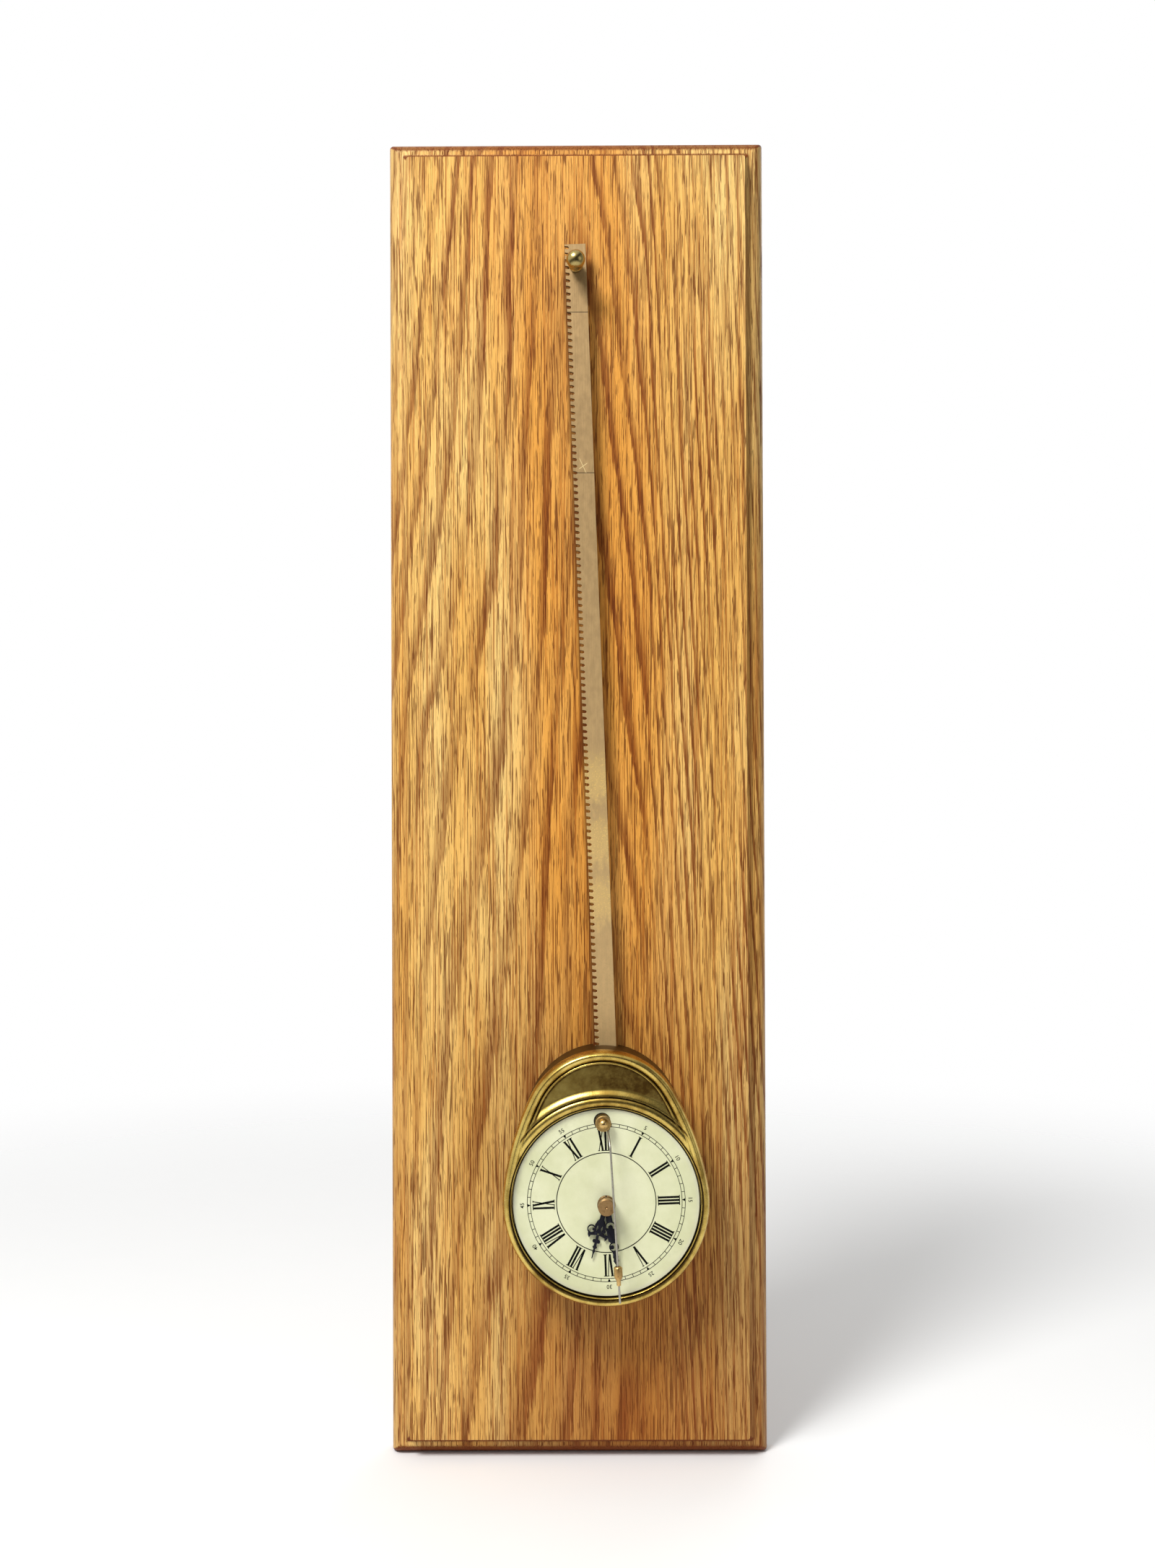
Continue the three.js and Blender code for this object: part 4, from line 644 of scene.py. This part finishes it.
def makePost():
    place = placeAt(0, pinHeight)
    bore, radius = post["boreRadius"], post["sleeveRadius"]
    back, front = post["sleeveBack"], post["sleeveFront"]
    profile = [(radius - 0.2, back), (radius, back + 0.3), (radius, front - 0.3), (radius - 0.2, front)]
    sleeve = turnedPiece("rackDistanceSleeve", profile)
    carve(sleeve, turnedPiece("bore", [(bore, 18), (bore, 26)], 48))
    setDown(smooth(sleeve), place, fittingFinish, "board", "post_sleeve", slot="rack_brass")
    neck, collar = post["neckRadius"], post["collarRadius"]
    profile = [(neck, 27.3), (neck, 30.2), (collar - 0.2, 30.6), (collar, 31), (collar, 32.2)]
    profile.append((collar - 0.3, 32.6))
    start = math.asin(neck / post["ballRadius"])
    profile += rollOff(post["ballDepth"], post["ballRadius"], start, math.pi, 30)
    ball = turnedPiece("postBall", profile, 72)
    carve(ball, turnedPiece("bore", [(bore, 26), (bore, post["ballDepth"] + 0.3)], 48))
    setDown(smooth(ball), place, ballFinish, "board", "post_ball", slot="rack_brass")


makePost()

# Rack: a flat bar with slanting slots cut into its left edge, which leave the teeth
rack = {
    "halfWidth": 5.1, "above": 11.4, "below": 480.5, "back": 25, "front": 27, "pitch": 3.2,
    "firstSlot": 10.6, "slots": 151,
    "slot": [(0, 0), (1.5, -0.3), (2.0, -0.62), (2.06, -1.16), (1.74, -1.56), (1.2, -1.62), (0, -1.42)],
    "holes": (ringOf(2.6, 36), ringOf(1.2, 24, 0.8, -470)),
}


def makeRack():
    left, back, front = -rack["halfWidth"], rack["back"], rack["front"]
    outline = [(left, -rack["below"]), (-left, -rack["below"]), (-left, rack["above"]), (left, rack["above"])]
    for number in range(rack["slots"]):
        height = rack["firstSlot"] - number * rack["pitch"]
        outline += [(left + x, height + z) for x, z in rack["slot"]]
    bar = outlinePiece("toothedRack", outline, back, front)
    for hole in rack["holes"]:
        drill(bar, hole, back - 1, front + 1)
    soften(bar, 0.1, 1, 30)
    setDown(smooth(bar, 25), hangingFrame, rackFinish, "rack_bar", "rack", slot="rack_brass")


makeRack()
print("rack and post done")

# Case: a teardrop shell. The height of its front goes by the inset, in from the edge, and by the reach, out
# from the dial's centre.
case = {
    "lowerRadius": 48.6, "sideRadius": 135, "topRadius": 38, "topReach": 71.5,
    "wall": 2.2, "draft": 0.8, "backDepth": 20.5, "innerDepth": 46.6, "opening": 44.4,
    "shoulderDepth": 45.2, "crestInset": 2.5, "crestDepth": 50.5, "footInset": 5.0, "footDepth": 48.4,
    "beadInset": 5.85, "beadHalf": 0.65, "beadDepth": 49.1, "panelDepth": 47.8,
    "bandStart": 53.4, "bandEnd": 50.2, "bandDepth": 49.1,
    "ringCrest": 47.4, "ringHalf": 1.95, "ringDepth": 49.5, "ringDrop": 1.3,
    "lipEnd": 45.35, "lipCrest": 44.8, "lipDepth": 48.2,
    "dirtLines": ((5.05, 0.5), (6.75, 0.9)),  # insets and widths of the grooves beside the bead
    "notchWidth": 12, "notchBack": 19.5, "notchFront": 29.2,
    "around": 360, "across": 130,
}


def caseArcs():
    top = case["topReach"] - case["topRadius"]
    near, far = case["sideRadius"] - case["lowerRadius"], case["sideRadius"] - case["topRadius"]
    rise = (near**2 - far**2 + top**2) / (2 * top)
    back = math.sqrt(near**2 - rise**2)
    return top, rise, back, math.atan2(-rise, back), math.atan2(top - rise, back)


topCentre, sideRise, sideBack, lowerEnd, sideEnd = caseArcs()


def rayReach(x, z, centreX, centreZ, radius):
    along = x * centreX + z * centreZ
    return along + math.sqrt(radius**2 - centreX**2 - centreZ**2 + along**2)


def edgeReach(angle, inset):  # from the dial centre out to the outline
    x, z = abs(math.cos(angle)), math.sin(angle)
    reach = case["lowerRadius"] - inset
    if math.atan2(z, x) > lowerEnd:
        reach = rayReach(x, z, -sideBack, sideRise, case["sideRadius"] - inset)
        if math.atan2(z * reach - sideRise, x * reach + sideBack) > sideEnd:
            reach = rayReach(x, z, 0, topCentre, case["topRadius"] - inset)
    return reach


def edgeDistance(x, z):
    x = abs(x)
    turn = math.atan2(z - sideRise, x + sideBack)
    if turn <= lowerEnd:
        return case["lowerRadius"] - math.hypot(x, z)
    if turn >= sideEnd:
        return case["topRadius"] - math.hypot(x, z - topCentre)
    return case["sideRadius"] - math.hypot(x + sideBack, z - sideRise)


def blendUp(first, second, width=0.25):  # the higher of two surfaces, with a soft line where they meet
    gap = max(width - abs(first - second), 0) / width
    return max(first, second) + gap * gap * width / 4


def easeBetween(value, low, high):
    share = min(max((value - low) / (high - low), 0), 1)
    return share * share * (3 - 2 * share)


def arch(top, drop, share):  # a round: top where share is 0, lower by drop at -1 and 1
    return top - drop * (1 - math.sqrt(max(1 - share * share, 0)))


def frontDepth(x, z):
    inset, reach = edgeDistance(x, z), math.hypot(x, z)
    crest, foot, top = case["crestInset"], case["footInset"], case["crestDepth"]
    if reach < case["lipEnd"]:
        half = case["lipCrest"] - case["opening"]
        return arch(case["lipDepth"], 0.9, (reach - case["lipCrest"]) / half)
    if inset < crest:
        return arch(top, top - case["shoulderDepth"], (crest - inset) / crest)
    floor, bandWidth = case["panelDepth"], case["bandStart"] - case["bandEnd"]
    floor += (case["bandDepth"] - floor) * easeBetween(case["bandStart"] - reach, 0, bandWidth)
    if reach < case["bandEnd"] - 0.5:
        floor -= 1.2
    roll = bead = ring = floor - 1
    if inset < foot:
        roll = arch(top, top - case["footDepth"] + 0.5, (inset - crest) / (foot - crest))
    if abs(inset - case["beadInset"]) < case["beadHalf"]:
        bead = arch(case["beadDepth"], 0.8, (inset - case["beadInset"]) / case["beadHalf"])
    aside = (reach - case["ringCrest"]) / (case["ringHalf"] + 0.1)
    if abs(aside) < 1:
        ring = arch(case["ringDepth"], case["ringDrop"], aside)
    return blendUp(blendUp(blendUp(floor, roll), bead, 0.12), ring, 0.12)


def spread(share):  # closer rings near both rims
    return share - 0.13 * math.sin(2 * math.pi * share)


def near(value, line, width):
    return 1 - easeBetween(abs(value - line), width * 0.2, width)


def hollowOf(x, depth, z):  # how dark a spot is made: 0 on the crest, 1 in a groove, 1.5 on the wall; patina in the grooves, painted shade on the panel and the opening's wall
    inset, reach = edgeDistance(x, z), math.hypot(x, z)
    if depth < case["shoulderDepth"] - 1:
        return 1.5
    groove = max(near(inset, *line) for line in case["dirtLines"]) if reach > case["bandEnd"] else 0
    if inset > 3.2:
        groove = max(groove, near(reach, case["bandEnd"] - 0.6, 0.7))
    # painted shade: the panel beyond the ring darkens towards its right
    if inset > 6.6:
        side = 0.3 + 0.55 * easeBetween(x, -34, 12)
        groove = max(groove, side * easeBetween(reach, case["bandStart"] - 1.2, case["bandStart"] + 0.8))
    groove = max(groove, near(reach, case["lipEnd"], 0.45))
    # painted shade: the opening's inner wall darkens as it goes down towards the dial
    inLip = reach < case["opening"] + 0.1
    return max(groove, 0.95 * easeBetween(case["lipDepth"] - 0.6 - depth, 0, 0.8) if inLip else 0)


def caseOutline(inset, count):
    return [polar(edgeReach(a, inset), a) for a in turns(count)]


def makeCase():
    around, across = case["around"], case["across"]
    wall, draft, back, opening = case["wall"], case["draft"], case["backDepth"], case["opening"]

    def outlineRing(inset, depth):
        return [(x, -depth, z) for x, z in caseOutline(inset, around)]

    def frontRing(share):
        ring = []
        for a in turns(around):
            start = edgeReach(a, 0)
            x, z = polar(start + (opening - start) * spread(share), a)
            ring.append((x, -frontDepth(x, z), z))
        return ring

    rings = [outlineRing(draft + 0.3, back), outlineRing(draft, back + 0.3), outlineRing(0, 43.8)]
    rings += [frontRing(i / across) for i in range(across + 1)]
    rings.append([(x, -case["innerDepth"], z) for x, z in ringOf(opening, around)])
    rings += [outlineRing(wall, case["innerDepth"]), outlineRing(wall + draft, back)]
    bpy.ops.mesh.primitive_grid_add(x_subdivisions=around, y_subdivisions=len(rings))
    piece = named(bpy.context.object, "teardropCase")
    for i, vertex in enumerate(piece.data.vertices):
        vertex.co = rings[(i // (around + 1)) % len(rings)][i % (around + 1) % around]
    edit(piece)
    weld(0.0005)
    top = case["topReach"]
    for side in (1, -1):
        outline = boxOutline(rackAside, side * top, case["notchWidth"], top)
        notch = outlinePiece("notch", outline, case["notchBack"], case["notchFront"])
        carve(piece, soften(notch, 0.8, 3))
    grimeAndShade = piece.data.attributes.new("grimeAndShade", "FLOAT", "POINT")
    for vertex in piece.data.vertices:
        grimeAndShade.data[vertex.index].value = hollowOf(vertex.co.x, -vertex.co.y, vertex.co.z)
    smooth(piece, 40)
    setDown(piece, clockFrame, caseFinish, "clock", "case_body", slot="case_brass")


# Rear cover: a plate inside the case's wall, sunk round its screws
cover = {"gap": 0.3, "back": 20.8, "front": 22.2, "screwReach": 36.5, "screwTurns": (30, 140, 200, 300)}


def makeCover():
    outline = caseOutline(case["draft"] + case["wall"] + cover["gap"], 200)
    plate = outlinePiece("rearCover", outline, cover["back"], cover["front"])
    for degrees in cover["screwTurns"]:
        x, z = polar(cover["screwReach"], math.radians(degrees))
        sink = turnedPiece("sink", [(2.6, 20), (2.4, 20.8), (1.3, 22.2), (1.3, 23)], 32)
        sink.location = (x, 0, z)
        carve(plate, sink)
    soften(plate, 0.15, 2)
    setDown(smooth(plate), clockFrame, coverFinish, "clock", "rear_cover", slot="case_brass")


makeCase()
makeCover()
print("case done")

# Dial: a stepped disc with two holes, and raised ink for the chapters and the minute track
dial = {
    "radius": 44, "faceRadius": 43.7, "backDepth": 45.8, "stepDepth": 46.1, "frontDepth": 46.6,
    "centreHole": 3.1, "palletHole": 3.7, "footRadius": 1.1, "footReach": 30,
    "footTurns": (45, 165, 285),
}


def makeDial():
    radius, face, step, front = dial["radius"], dial["faceRadius"], dial["stepDepth"], dial["frontDepth"]
    profile = [(radius, dial["backDepth"]), (radius, step), (face, step)]
    profile += [(face, front - 0.12), (face - 0.12, front)]
    disc = turnedPiece("dialDisc", profile, 160)
    drill(disc, ringOf(dial["centreHole"], 48), 44, 48)
    drill(disc, ringOf(dial["palletHole"], 48, -0.2, palletHeight + 0.1), 44, 48)
    for degrees in dial["footTurns"]:
        foot = ringOf(dial["footRadius"], 24, *polar(dial["footReach"], math.radians(degrees)))
        drill(disc, foot, 42.9, 46, "UNION")
    smooth(disc, 30)
    setDown(disc, clockFrame, dialFinish, "clock", "dial", slot="dial")


ink = {
    "height": 0.05, "inner": 24.2, "outer": 34.5,
    "thick": 0.96, "thin": 0.38, "serif": 0.34,
    "ringRadius": 23.3, "ringLine": 0.4, "ringSides": 180,
    "trackInner": 35.5, "trackOuter": 37.0, "trackLine": 0.27, "numberRadius": 39.3, "numberSize": 2.7,
}
letters = {  # width, then strokes (foot, head, line), then serifs (middle, end, half)
    "I": (1.46, [(0, 0, "thick")], [(0, "inner", 0.9), (0, "outer", 0.9)]),
    "V": (2.9, [(0.1, -0.95, "thick"), (0.3, 1.05, "thin")], [(-0.95, "outer", 0.8), (1.05, "outer", 0.5)]),
    "X": (
        3.0,
        [(0.85, -0.85, "thick"), (-0.95, 0.95, "thin")],
        [(0.85, "inner", 0.75), (-0.95, "inner", 0.45), (-0.85, "outer", 0.75), (0.95, "outer", 0.45)],
    ),
}
romanNumerals = ["XII", "I", "II", "III", "IIII", "V", "VI", "VII", "VIII", "IX", "X", "XI"]


def inkShape(points, turn):  # a flat patch of ink on the dial's face, turned clockwise about its centre
    angle = math.radians(turn)
    cos, sin = math.cos(angle), math.sin(angle)
    turned = [(x * cos + z * sin, z * cos - x * sin) for x, z in points]
    return outlinePiece("ink", turned, dial["frontDepth"] - 0.01)


def strokeOutline(low, high, width):  # a slanted bar with level ends
    foot, head, half = ink["inner"], ink["outer"], width / 2
    return [(low - half, foot), (low + half, foot), (high + half, head), (high - half, head)]


def serifOutline(middle, reach, half):
    inwards = ink["serif"] / 2 if reach == ink["inner"] else -ink["serif"] / 2
    return boxOutline(middle, reach + inwards, half * 2, ink["serif"])


def numeralShapes(text, turn):
    x = -sum(letters[letter][0] for letter in text) / 2
    shapes = []
    for letter in text:
        width, strokes, serifs = letters[letter]
        middle = x + width / 2
        x += width
        shapes += [strokeOutline(middle + low, middle + high, ink[line]) for low, high, line in strokes]
        shapes += [serifOutline(middle + aside, ink[end], half) for aside, end, half in serifs]
    return [inkShape(points, turn) for points in shapes]


def inkRing(radius, line):
    inner, outer = radius - line / 2, radius + line / 2
    bpy.ops.mesh.primitive_circle_add(vertices=ink["ringSides"], radius=inner, rotation=(quarter, 0, 0))
    ring = bpy.context.object
    bpy.ops.object.transform_apply()
    edit(ring)
    bpy.ops.mesh.extrude_edges_move()
    bpy.ops.transform.resize(value=(outer / inner, 1, outer / inner))
    leave()
    for vertex in ring.data.vertices:
        vertex.co.y = 0.01 - dial["frontDepth"]
    return ring


def thickenInk(patches, name):
    piece = joined(name, patches)
    edit(piece)
    faceOut()
    pushForward(ink["height"])
    faceOut()
    leave()
    setDown(piece, clockFrame, inkFinish, "clock", slot="dial")


def makeChapters():
    chapters = []
    for hour, text in enumerate(romanNumerals):
        chapters += numeralShapes(text, hour * 30)
    chapters.append(inkRing(ink["ringRadius"], ink["ringLine"]))
    thickenInk(chapters, "romanChapters")


def makeMinuteTrack():
    inner, outer, line = ink["trackInner"], ink["trackOuter"], ink["trackLine"]
    track = [inkRing(inner, line), inkRing(outer, line)]
    dash = boxOutline(0, (inner + outer) / 2, line, outer - inner)
    arrow = [(-0.75, outer + 0.1), (0, inner - 0.1), (0.75, outer + 0.1)]
    track += [inkShape(dash if minute % 5 else arrow, minute * 6) for minute in range(60)]
    thickenInk(track, "minuteTrack")


def makeMinuteNumbers():
    numbers = []
    back = dial["frontDepth"] - 0.01
    for minute in range(5, 60, 5):
        bpy.ops.object.text_add(rotation=(quarter, 0, 0))
        number = bpy.context.object
        assign(number.data, body=str(minute), size=ink["numberSize"], align_x="CENTER", align_y="CENTER")
        assign(number.data, extrude=ink["height"] / 2, offset=0.015, resolution_u=4)
        lift = Matrix.Translation((0, -back - ink["height"] / 2, ink["numberRadius"]))
        number.matrix_world = turnAbout("Y", minute * 6) @ lift @ number.matrix_world
        choose(number)
        bpy.ops.object.convert(target="MESH")
        bpy.ops.object.transform_apply()
        numbers.append(number)
    setDown(joined("minuteNumbers", numbers), clockFrame, inkFinish, "clock", slot="dial")


makeDial()
makeChapters()
makeMinuteTrack()
makeMinuteNumbers()
print("dial done")

# Hands: pierced plates
hands = {"thickness": 0.6, "hourDepth": 47.4, "minuteDepth": 48.7, "hourTurn": 197, "minuteTurn": 172.2}


def bothSides(points):
    return points + [(-x, z) for x, z in reversed(points)]


def piercedHand(name, which, body, solids, windows):  # a window may hold an island, which stays
    back = hands[which + "Depth"]
    front = back + hands["thickness"]
    hand = outlinePiece(name, solids[0], back - 0.2, front + 0.2)
    for i, outline in enumerate(solids[1:]):
        lift = 0.01 * (i + 1)
        drill(hand, outline, back - 0.2 - lift, front + 0.2 + lift, "UNION")
    for window, island in windows:
        tool = outlinePiece("window", window, back - 3, front + 3)
        if island:
            drill(tool, island, back - 4, front + 4)
        carve(hand, tool)
    edit(hand)
    for depth, side in ((back, 1), (front, -1)):  # both faces are cut level
        selectAll()
        bpy.ops.mesh.bisect(plane_co=(0, -depth, 0), plane_no=(0, side, 0), use_fill=True, clear_outer=True)
    weld(0.005)
    soften(hand, 0.1, 2)
    place = clockFrame @ turnAbout("Y", hands[which + "Turn"])
    setDown(smooth(hand), place, handFinish, body, which + "_hand", slot="black_steel")


def makeHourHand():
    spine = bothSides([
        (1.1, 0), (1.1, 8), (1.8, 9), (2.5, 11), (2.5, 13.3), (0.6, 15.4), (0.6, 20.4), (1.1, 21.3),
        (0.3, 22.2), (0.7, 23.1), (0.3, 24.1), (0.22, 26.6),
    ])
    scroll = [(0, 13.3), (3.6, 13.3), (4.9, 14.9), (4.7, 16.2), (3.8, 17.5), (3.3, 16.1), (0, 15.4)]
    lozenge = [(1.1, 10.9), (1.6, 12.4), (1.1, 13.9), (0.6, 12.4)]
    solids = [spine, ringOf(3.6, 48)]
    windows = [(ringOf(2.8, 40), None), (ringOf(0.45, 16, 0, 15), None)]
    for side in (-1, 1):
        aside = side * 3.6
        solids += [
            ringOf(2.05, 36, aside, 13.3),
            [(side * x, z) for x, z in scroll],
            ringOf(0.85, 20, side * 0.95, 18.4),
        ]
        windows += [
            (ringOf(1.5, 28, aside, 13.3), ringOf(0.62, 20, aside - side * 0.98, 13.3)),
            ([(side * x, z) for x, z in lozenge], None),
        ]
    piercedHand("hourHand", "hour", "hour", solids, windows)


def minuteIsland():  # the dot in the ring nearer the hub, run together with the shield beyond it
    angles = [math.pi * i / 12 for i in range(12, -1, -1)]
    dot = [(1.1 * math.cos(a), 11.2 - 1.1 * math.sin(a)) for a in angles]
    return [(-2.6, 12), (-1.1, 12)] + dot + [(1.1, 12), (2.6, 12), (2.6, 14.6), (-2.6, 14.6)]


def makeMinuteHand():
    spine = bothSides([
        (1.5, 0), (1.5, 10.9), (2.1, 12), (2.1, 17.3), (1.1, 18.2), (1.1, 22.65), (1.0, 23.7), (1.3, 25.2),
        (1.0, 25.7), (1.0, 26.0), (1.3, 27), (0.5, 28.6), (0.22, 34.5),
    ])
    solids = [spine, ringOf(2.6, 48, 0, 10.9), ringOf(2.25, 44, 0, 20.4), ringOf(3.2, 48)]
    windows = [
        (ringOf(2.0, 44), None),
        (ringOf(2.05, 40, 0, 10.9), minuteIsland()),
        (ringOf(1.75, 36, 0, 20.4), ringOf(0.98, 30, 0.85, 20.4)),
    ]
    piercedHand("minuteHand", "minute", "centre", solids, windows)


makeHourHand()
makeMinuteHand()
print("hands done")

# Collar and knob that hold the hands
knob = {
    "collarRadius": 4.25, "collarBack": 49.9, "collarFront": 51.8,
    "radius": 3.9, "groove": 0.18, "back": 52.1, "front": 56.7,
}


def makeKnob():
    radius, back, front = knob["collarRadius"], knob["collarBack"], knob["collarFront"]
    profile = [(radius - 0.15, back), (radius, back + 0.15), (radius, front - 0.25), (radius - 0.25, front)]
    collar = turnedPiece("handCollar", profile, 72)
    drill(collar, ringOf(arborBore, 32), back - 1, front + 1)
    drill(collar, boxOutline(0, 3.3, 0.6, 4.2), back - 1, front + 1)
    setDown(smooth(collar), clockFrame, knobFinish, "centre", "hand_collar", slot="rack_brass")
    radius, back, front = knob["radius"], knob["back"], knob["front"]
    low = radius - knob["groove"]
    profile = [(radius - 0.2, back), (radius, back + 0.2), (radius, front - 1.5), (low, front - 1.35)]
    profile += [(low, front - 1.2), (radius, front - 1.05), (radius, front - 0.3), (radius - 0.3, front)]
    profile += [(0.55, front), (0.3, front - 0.3), (0.04, front - 0.45)]
    button = turnedPiece("handKnob", profile, 72)
    drill(button, ringOf(arborBore, 32), back - 1, front - 0.9)
    setDown(smooth(button), clockFrame, knobFinish, "centre", "hand_knob", slot="rack_brass")


makeKnob()

# Pendulum: domed boss, bent wire and bob
pendulum = {
    "flangeRadius": 3.7, "flangeDepth": 50, "flangeFront": 51.6, "domeRadius": 2.5, "domeRise": 2.6,
    "domeSteps": 14, "wireRadius": 0.5, "wireDepth": 58.5, "bendDrop": 11.5, "bendAside": 2.2,
    "length": 81.5, "bobShare": 0.8, "bobBore": 0.8,
}


def makeBoss():
    flange, back, front = pendulum["flangeRadius"], pendulum["flangeDepth"], pendulum["flangeFront"]
    profile = [(flange - 0.15, back), (flange, back + 0.15), (flange, front - 0.3), (flange - 0.3, front)]
    for i in range(pendulum["domeSteps"] + 1):
        angle = quarter * i / pendulum["domeSteps"]
        radius = max(pendulum["domeRadius"] * math.cos(angle), 0.03)
        profile.append((radius, front + pendulum["domeRise"] * math.sin(angle)))
    boss = turnedPiece("pendulumBoss", profile, 72)
    drill(boss, ringOf(arborBore, 32), back - 1, front + 0.3)
    setDown(smooth(boss), pendulumFrame, fittingFinish, "pendulum", "pendulum_boss", slot="rack_brass")


def makeWire():  # out of the flange's foot, forwards round a bend, then straight down
    flange, depth = pendulum["flangeRadius"], (pendulum["flangeDepth"] + pendulum["flangeFront"]) / 2
    top = Vector((flange / 2, -depth, -math.sqrt((flange + 0.3) ** 2 - (flange / 2) ** 2)))
    knee = Vector((bend.x, bend.y, (top.z + bend.z) / 2))
    bpy.ops.curve.primitive_bezier_curve_add()
    wire = bpy.context.object
    wire.name = "pendulumWire"
    points = wire.data.splines[0].bezier_points
    points.add(1)
    start, back, run = (knee - top) * 2 / 3, (knee - bend) * 2 / 3, (end - bend) * 0.1
    handles = [(top, top - start, top + start), (bend, bend + back, bend + run), (end, end - run, end)]
    for point, (at, before, after) in zip(points, handles):
        point.handle_left_type = point.handle_right_type = "FREE"
        point.co, point.handle_left, point.handle_right = at, before, after
    assign(wire.data, dimensions="3D", resolution_u=24, bevel_resolution=5, use_fill_caps=True)
    wire.data.bevel_depth = pendulum["wireRadius"]
    choose(wire)
    bpy.ops.object.convert(target="MESH")
    wire = bpy.context.object
    edit(wire)
    weld(0.0005)
    setDown(smooth(wire, 40), pendulumFrame, wireFinish, "pendulum", "pendulum_rod", slot="steel")


def makeBob():
    lean = math.degrees(math.atan2(pendulum["bendAside"], pendulum["length"] - pendulum["bendDrop"]))
    place = bend.lerp(end, pendulum["bobShare"])
    profile = [
        (0.9, -5.85), (1.0, -5.7), (1.0, -3.6), (1.15, -3.3), (1.75, -2.2), (1.98, -1.5), (2.0, -1.0),
        (2.0, 2.1), (1.85, 2.55), (1.5, 2.9), (1.15, 3.05),
    ]
    bob = turnedPiece("pendulumBob", profile, 48)
    drill(bob, ringOf(pendulum["bobBore"], 24), -8, 8)
    spot = pendulumFrame @ Matrix.Translation(place * metre) @ turnAbout("Y", lean) @ turnAbout("X", -90)
    setDown(smooth(bob), spot, fittingFinish, "bob", "pendulum_bob", slot="rack_brass")


bend = Vector((pendulum["bendAside"], -pendulum["wireDepth"], -pendulum["bendDrop"]))
end = Vector((0, -pendulum["wireDepth"], -pendulum["length"]))
makeBoss()
makeWire()
makeBob()
print("knob and pendulum done")

# Studio: camera, pale floor, soft lamps
view = {
    "place": (0.00386, -0.80594, 0.00078), "yaw": 0.286, "pitch": 0.376, "roll": -0.188,
    "focalPixels": 2243, "photoHeight": 2173, "sensorHeight": 24,
}


def makeCamera():
    bpy.ops.object.camera_add()
    camera = bpy.context.object
    assign(camera.data, sensor_fit="VERTICAL", sensor_height=view["sensorHeight"], clip_start=0.01)
    camera.data.lens = view["focalPixels"] / view["photoHeight"] * view["sensorHeight"]
    aim = turnAbout("Z", view["yaw"]) @ turnAbout("X", 90 + view["pitch"]) @ turnAbout("Z", view["roll"])
    camera.matrix_world = Matrix.Translation(view["place"]) @ aim
    bpy.context.scene.camera = camera


studio = {
    "keyPower": 27, "keySize": 0.6, "keyPlace": (-0.62, -0.95, 1.15), "keyTarget": (0, 0, 0.05),
    "fillPower": 2, "fillSize": 1.2, "fillPlace": (1.3, -1.1, 0.2), "fillTarget": (0, 0, 0),
    "backPower": 5, "backSize": 1.0, "backPlace": (0.6, 1.4, 0.9), "backTarget": (0, 0, 0),
    "floorRadius": 2.4, "floorBase": (250, 250, 249), "floorGrain": (244, 244, 243), "roomStrength": 0.7,
}


def makeLamp(which):
    place = Vector(studio[which + "Place"])
    bpy.ops.object.light_add(type="AREA", location=place)
    lamp = bpy.context.object
    lamp.name = which + "Lamp"
    assign(lamp.data, energy=studio[which + "Power"], shape="DISK", size=studio[which + "Size"])
    lamp.rotation_euler = (Vector(studio[which + "Target"]) - place).to_track_quat("-Z", "Y").to_euler()


def makeFloor():  # at the board's foot; it fades out before its rim
    place, radius = (0, 0, -board["height"] / 2 * metre), studio["floorRadius"]
    bpy.ops.mesh.primitive_circle_add(vertices=96, radius=radius, fill_type="NGON", location=place)
    floor = bpy.context.object
    floor.name = "studioFloor"
    pale = Finish("paleFloor", studio["floorBase"])
    x, y, z = pale.parts(pale.spot)
    fade = ((x * x + y * y).root() * metre).step(0.35, 1.1)
    pale.layer(pale.noise(0.02, 3, 0.6) * 0.25, studio["floorGrain"])
    shader = pale.node("BsdfPrincipled", None, {"Base Color": pale.colour, "Roughness": 0.7})
    clear = pale.node("BsdfTransparent")
    surface = pale.node("MixShader", None, {0: fade, 1: shader, 2: clear})
    pale.node("OutputMaterial", None, {"Surface": surface})
    floor.data.materials.append(pale.owner)


def makeWorld():  # white to the camera, a lit room to mirrors and a dim one to everything else
    sky = Finish("studioWorld", kind="worlds")
    bpy.context.scene.world = sky.owner
    x, y, z = sky.parts(sky.node("TexCoord", output=0))
    glossy = sky.node("LightPath", None, None, "Is Glossy Ray")
    direct = sky.node("LightPath", None, None, "Is Camera Ray")
    through = sky.node("LightPath", None, None, "Is Transmission Ray")
    room = sky.mix(z.step(-0.3, 0.9), (0.08, 0.08, 0.08, 1), (0.72, 0.72, 0.72, 1))
    towardsKey = (z * 0.8 - x * 0.6 - y * 0.1).step(0.25, 0.6)
    mirrored = sky.mix(towardsKey, (0.05, 0.045, 0.04, 1), (1.35, 1.33, 1.27, 1))
    mirrored = sky.mix(x.step(0.6, 0.85) * 0.45, mirrored, (0.8, 0.8, 0.78, 1))
    mirrored = sky.mix(y.step(0, 0.4), mirrored, (1.4, 1.4, 1.4, 1))
    room = sky.mix(glossy, room, mirrored)
    dim = sky.node("Background", None, {"Color": room, "Strength": studio["roomStrength"]})
    bright = sky.node("Background", None, {"Color": (1, 1, 1, 1), "Strength": 1})
    surface = sky.node("MixShader", None, {0: (direct + through).least(1), 1: dim, 2: bright})
    sky.node("OutputWorld", None, {"Surface": surface})


makeCamera()
for which in ("key", "fill", "back"):
    makeLamp(which)
makeFloor()
makeWorld()
bpy.context.scene.view_settings.view_transform = "Standard"
print("studio done")
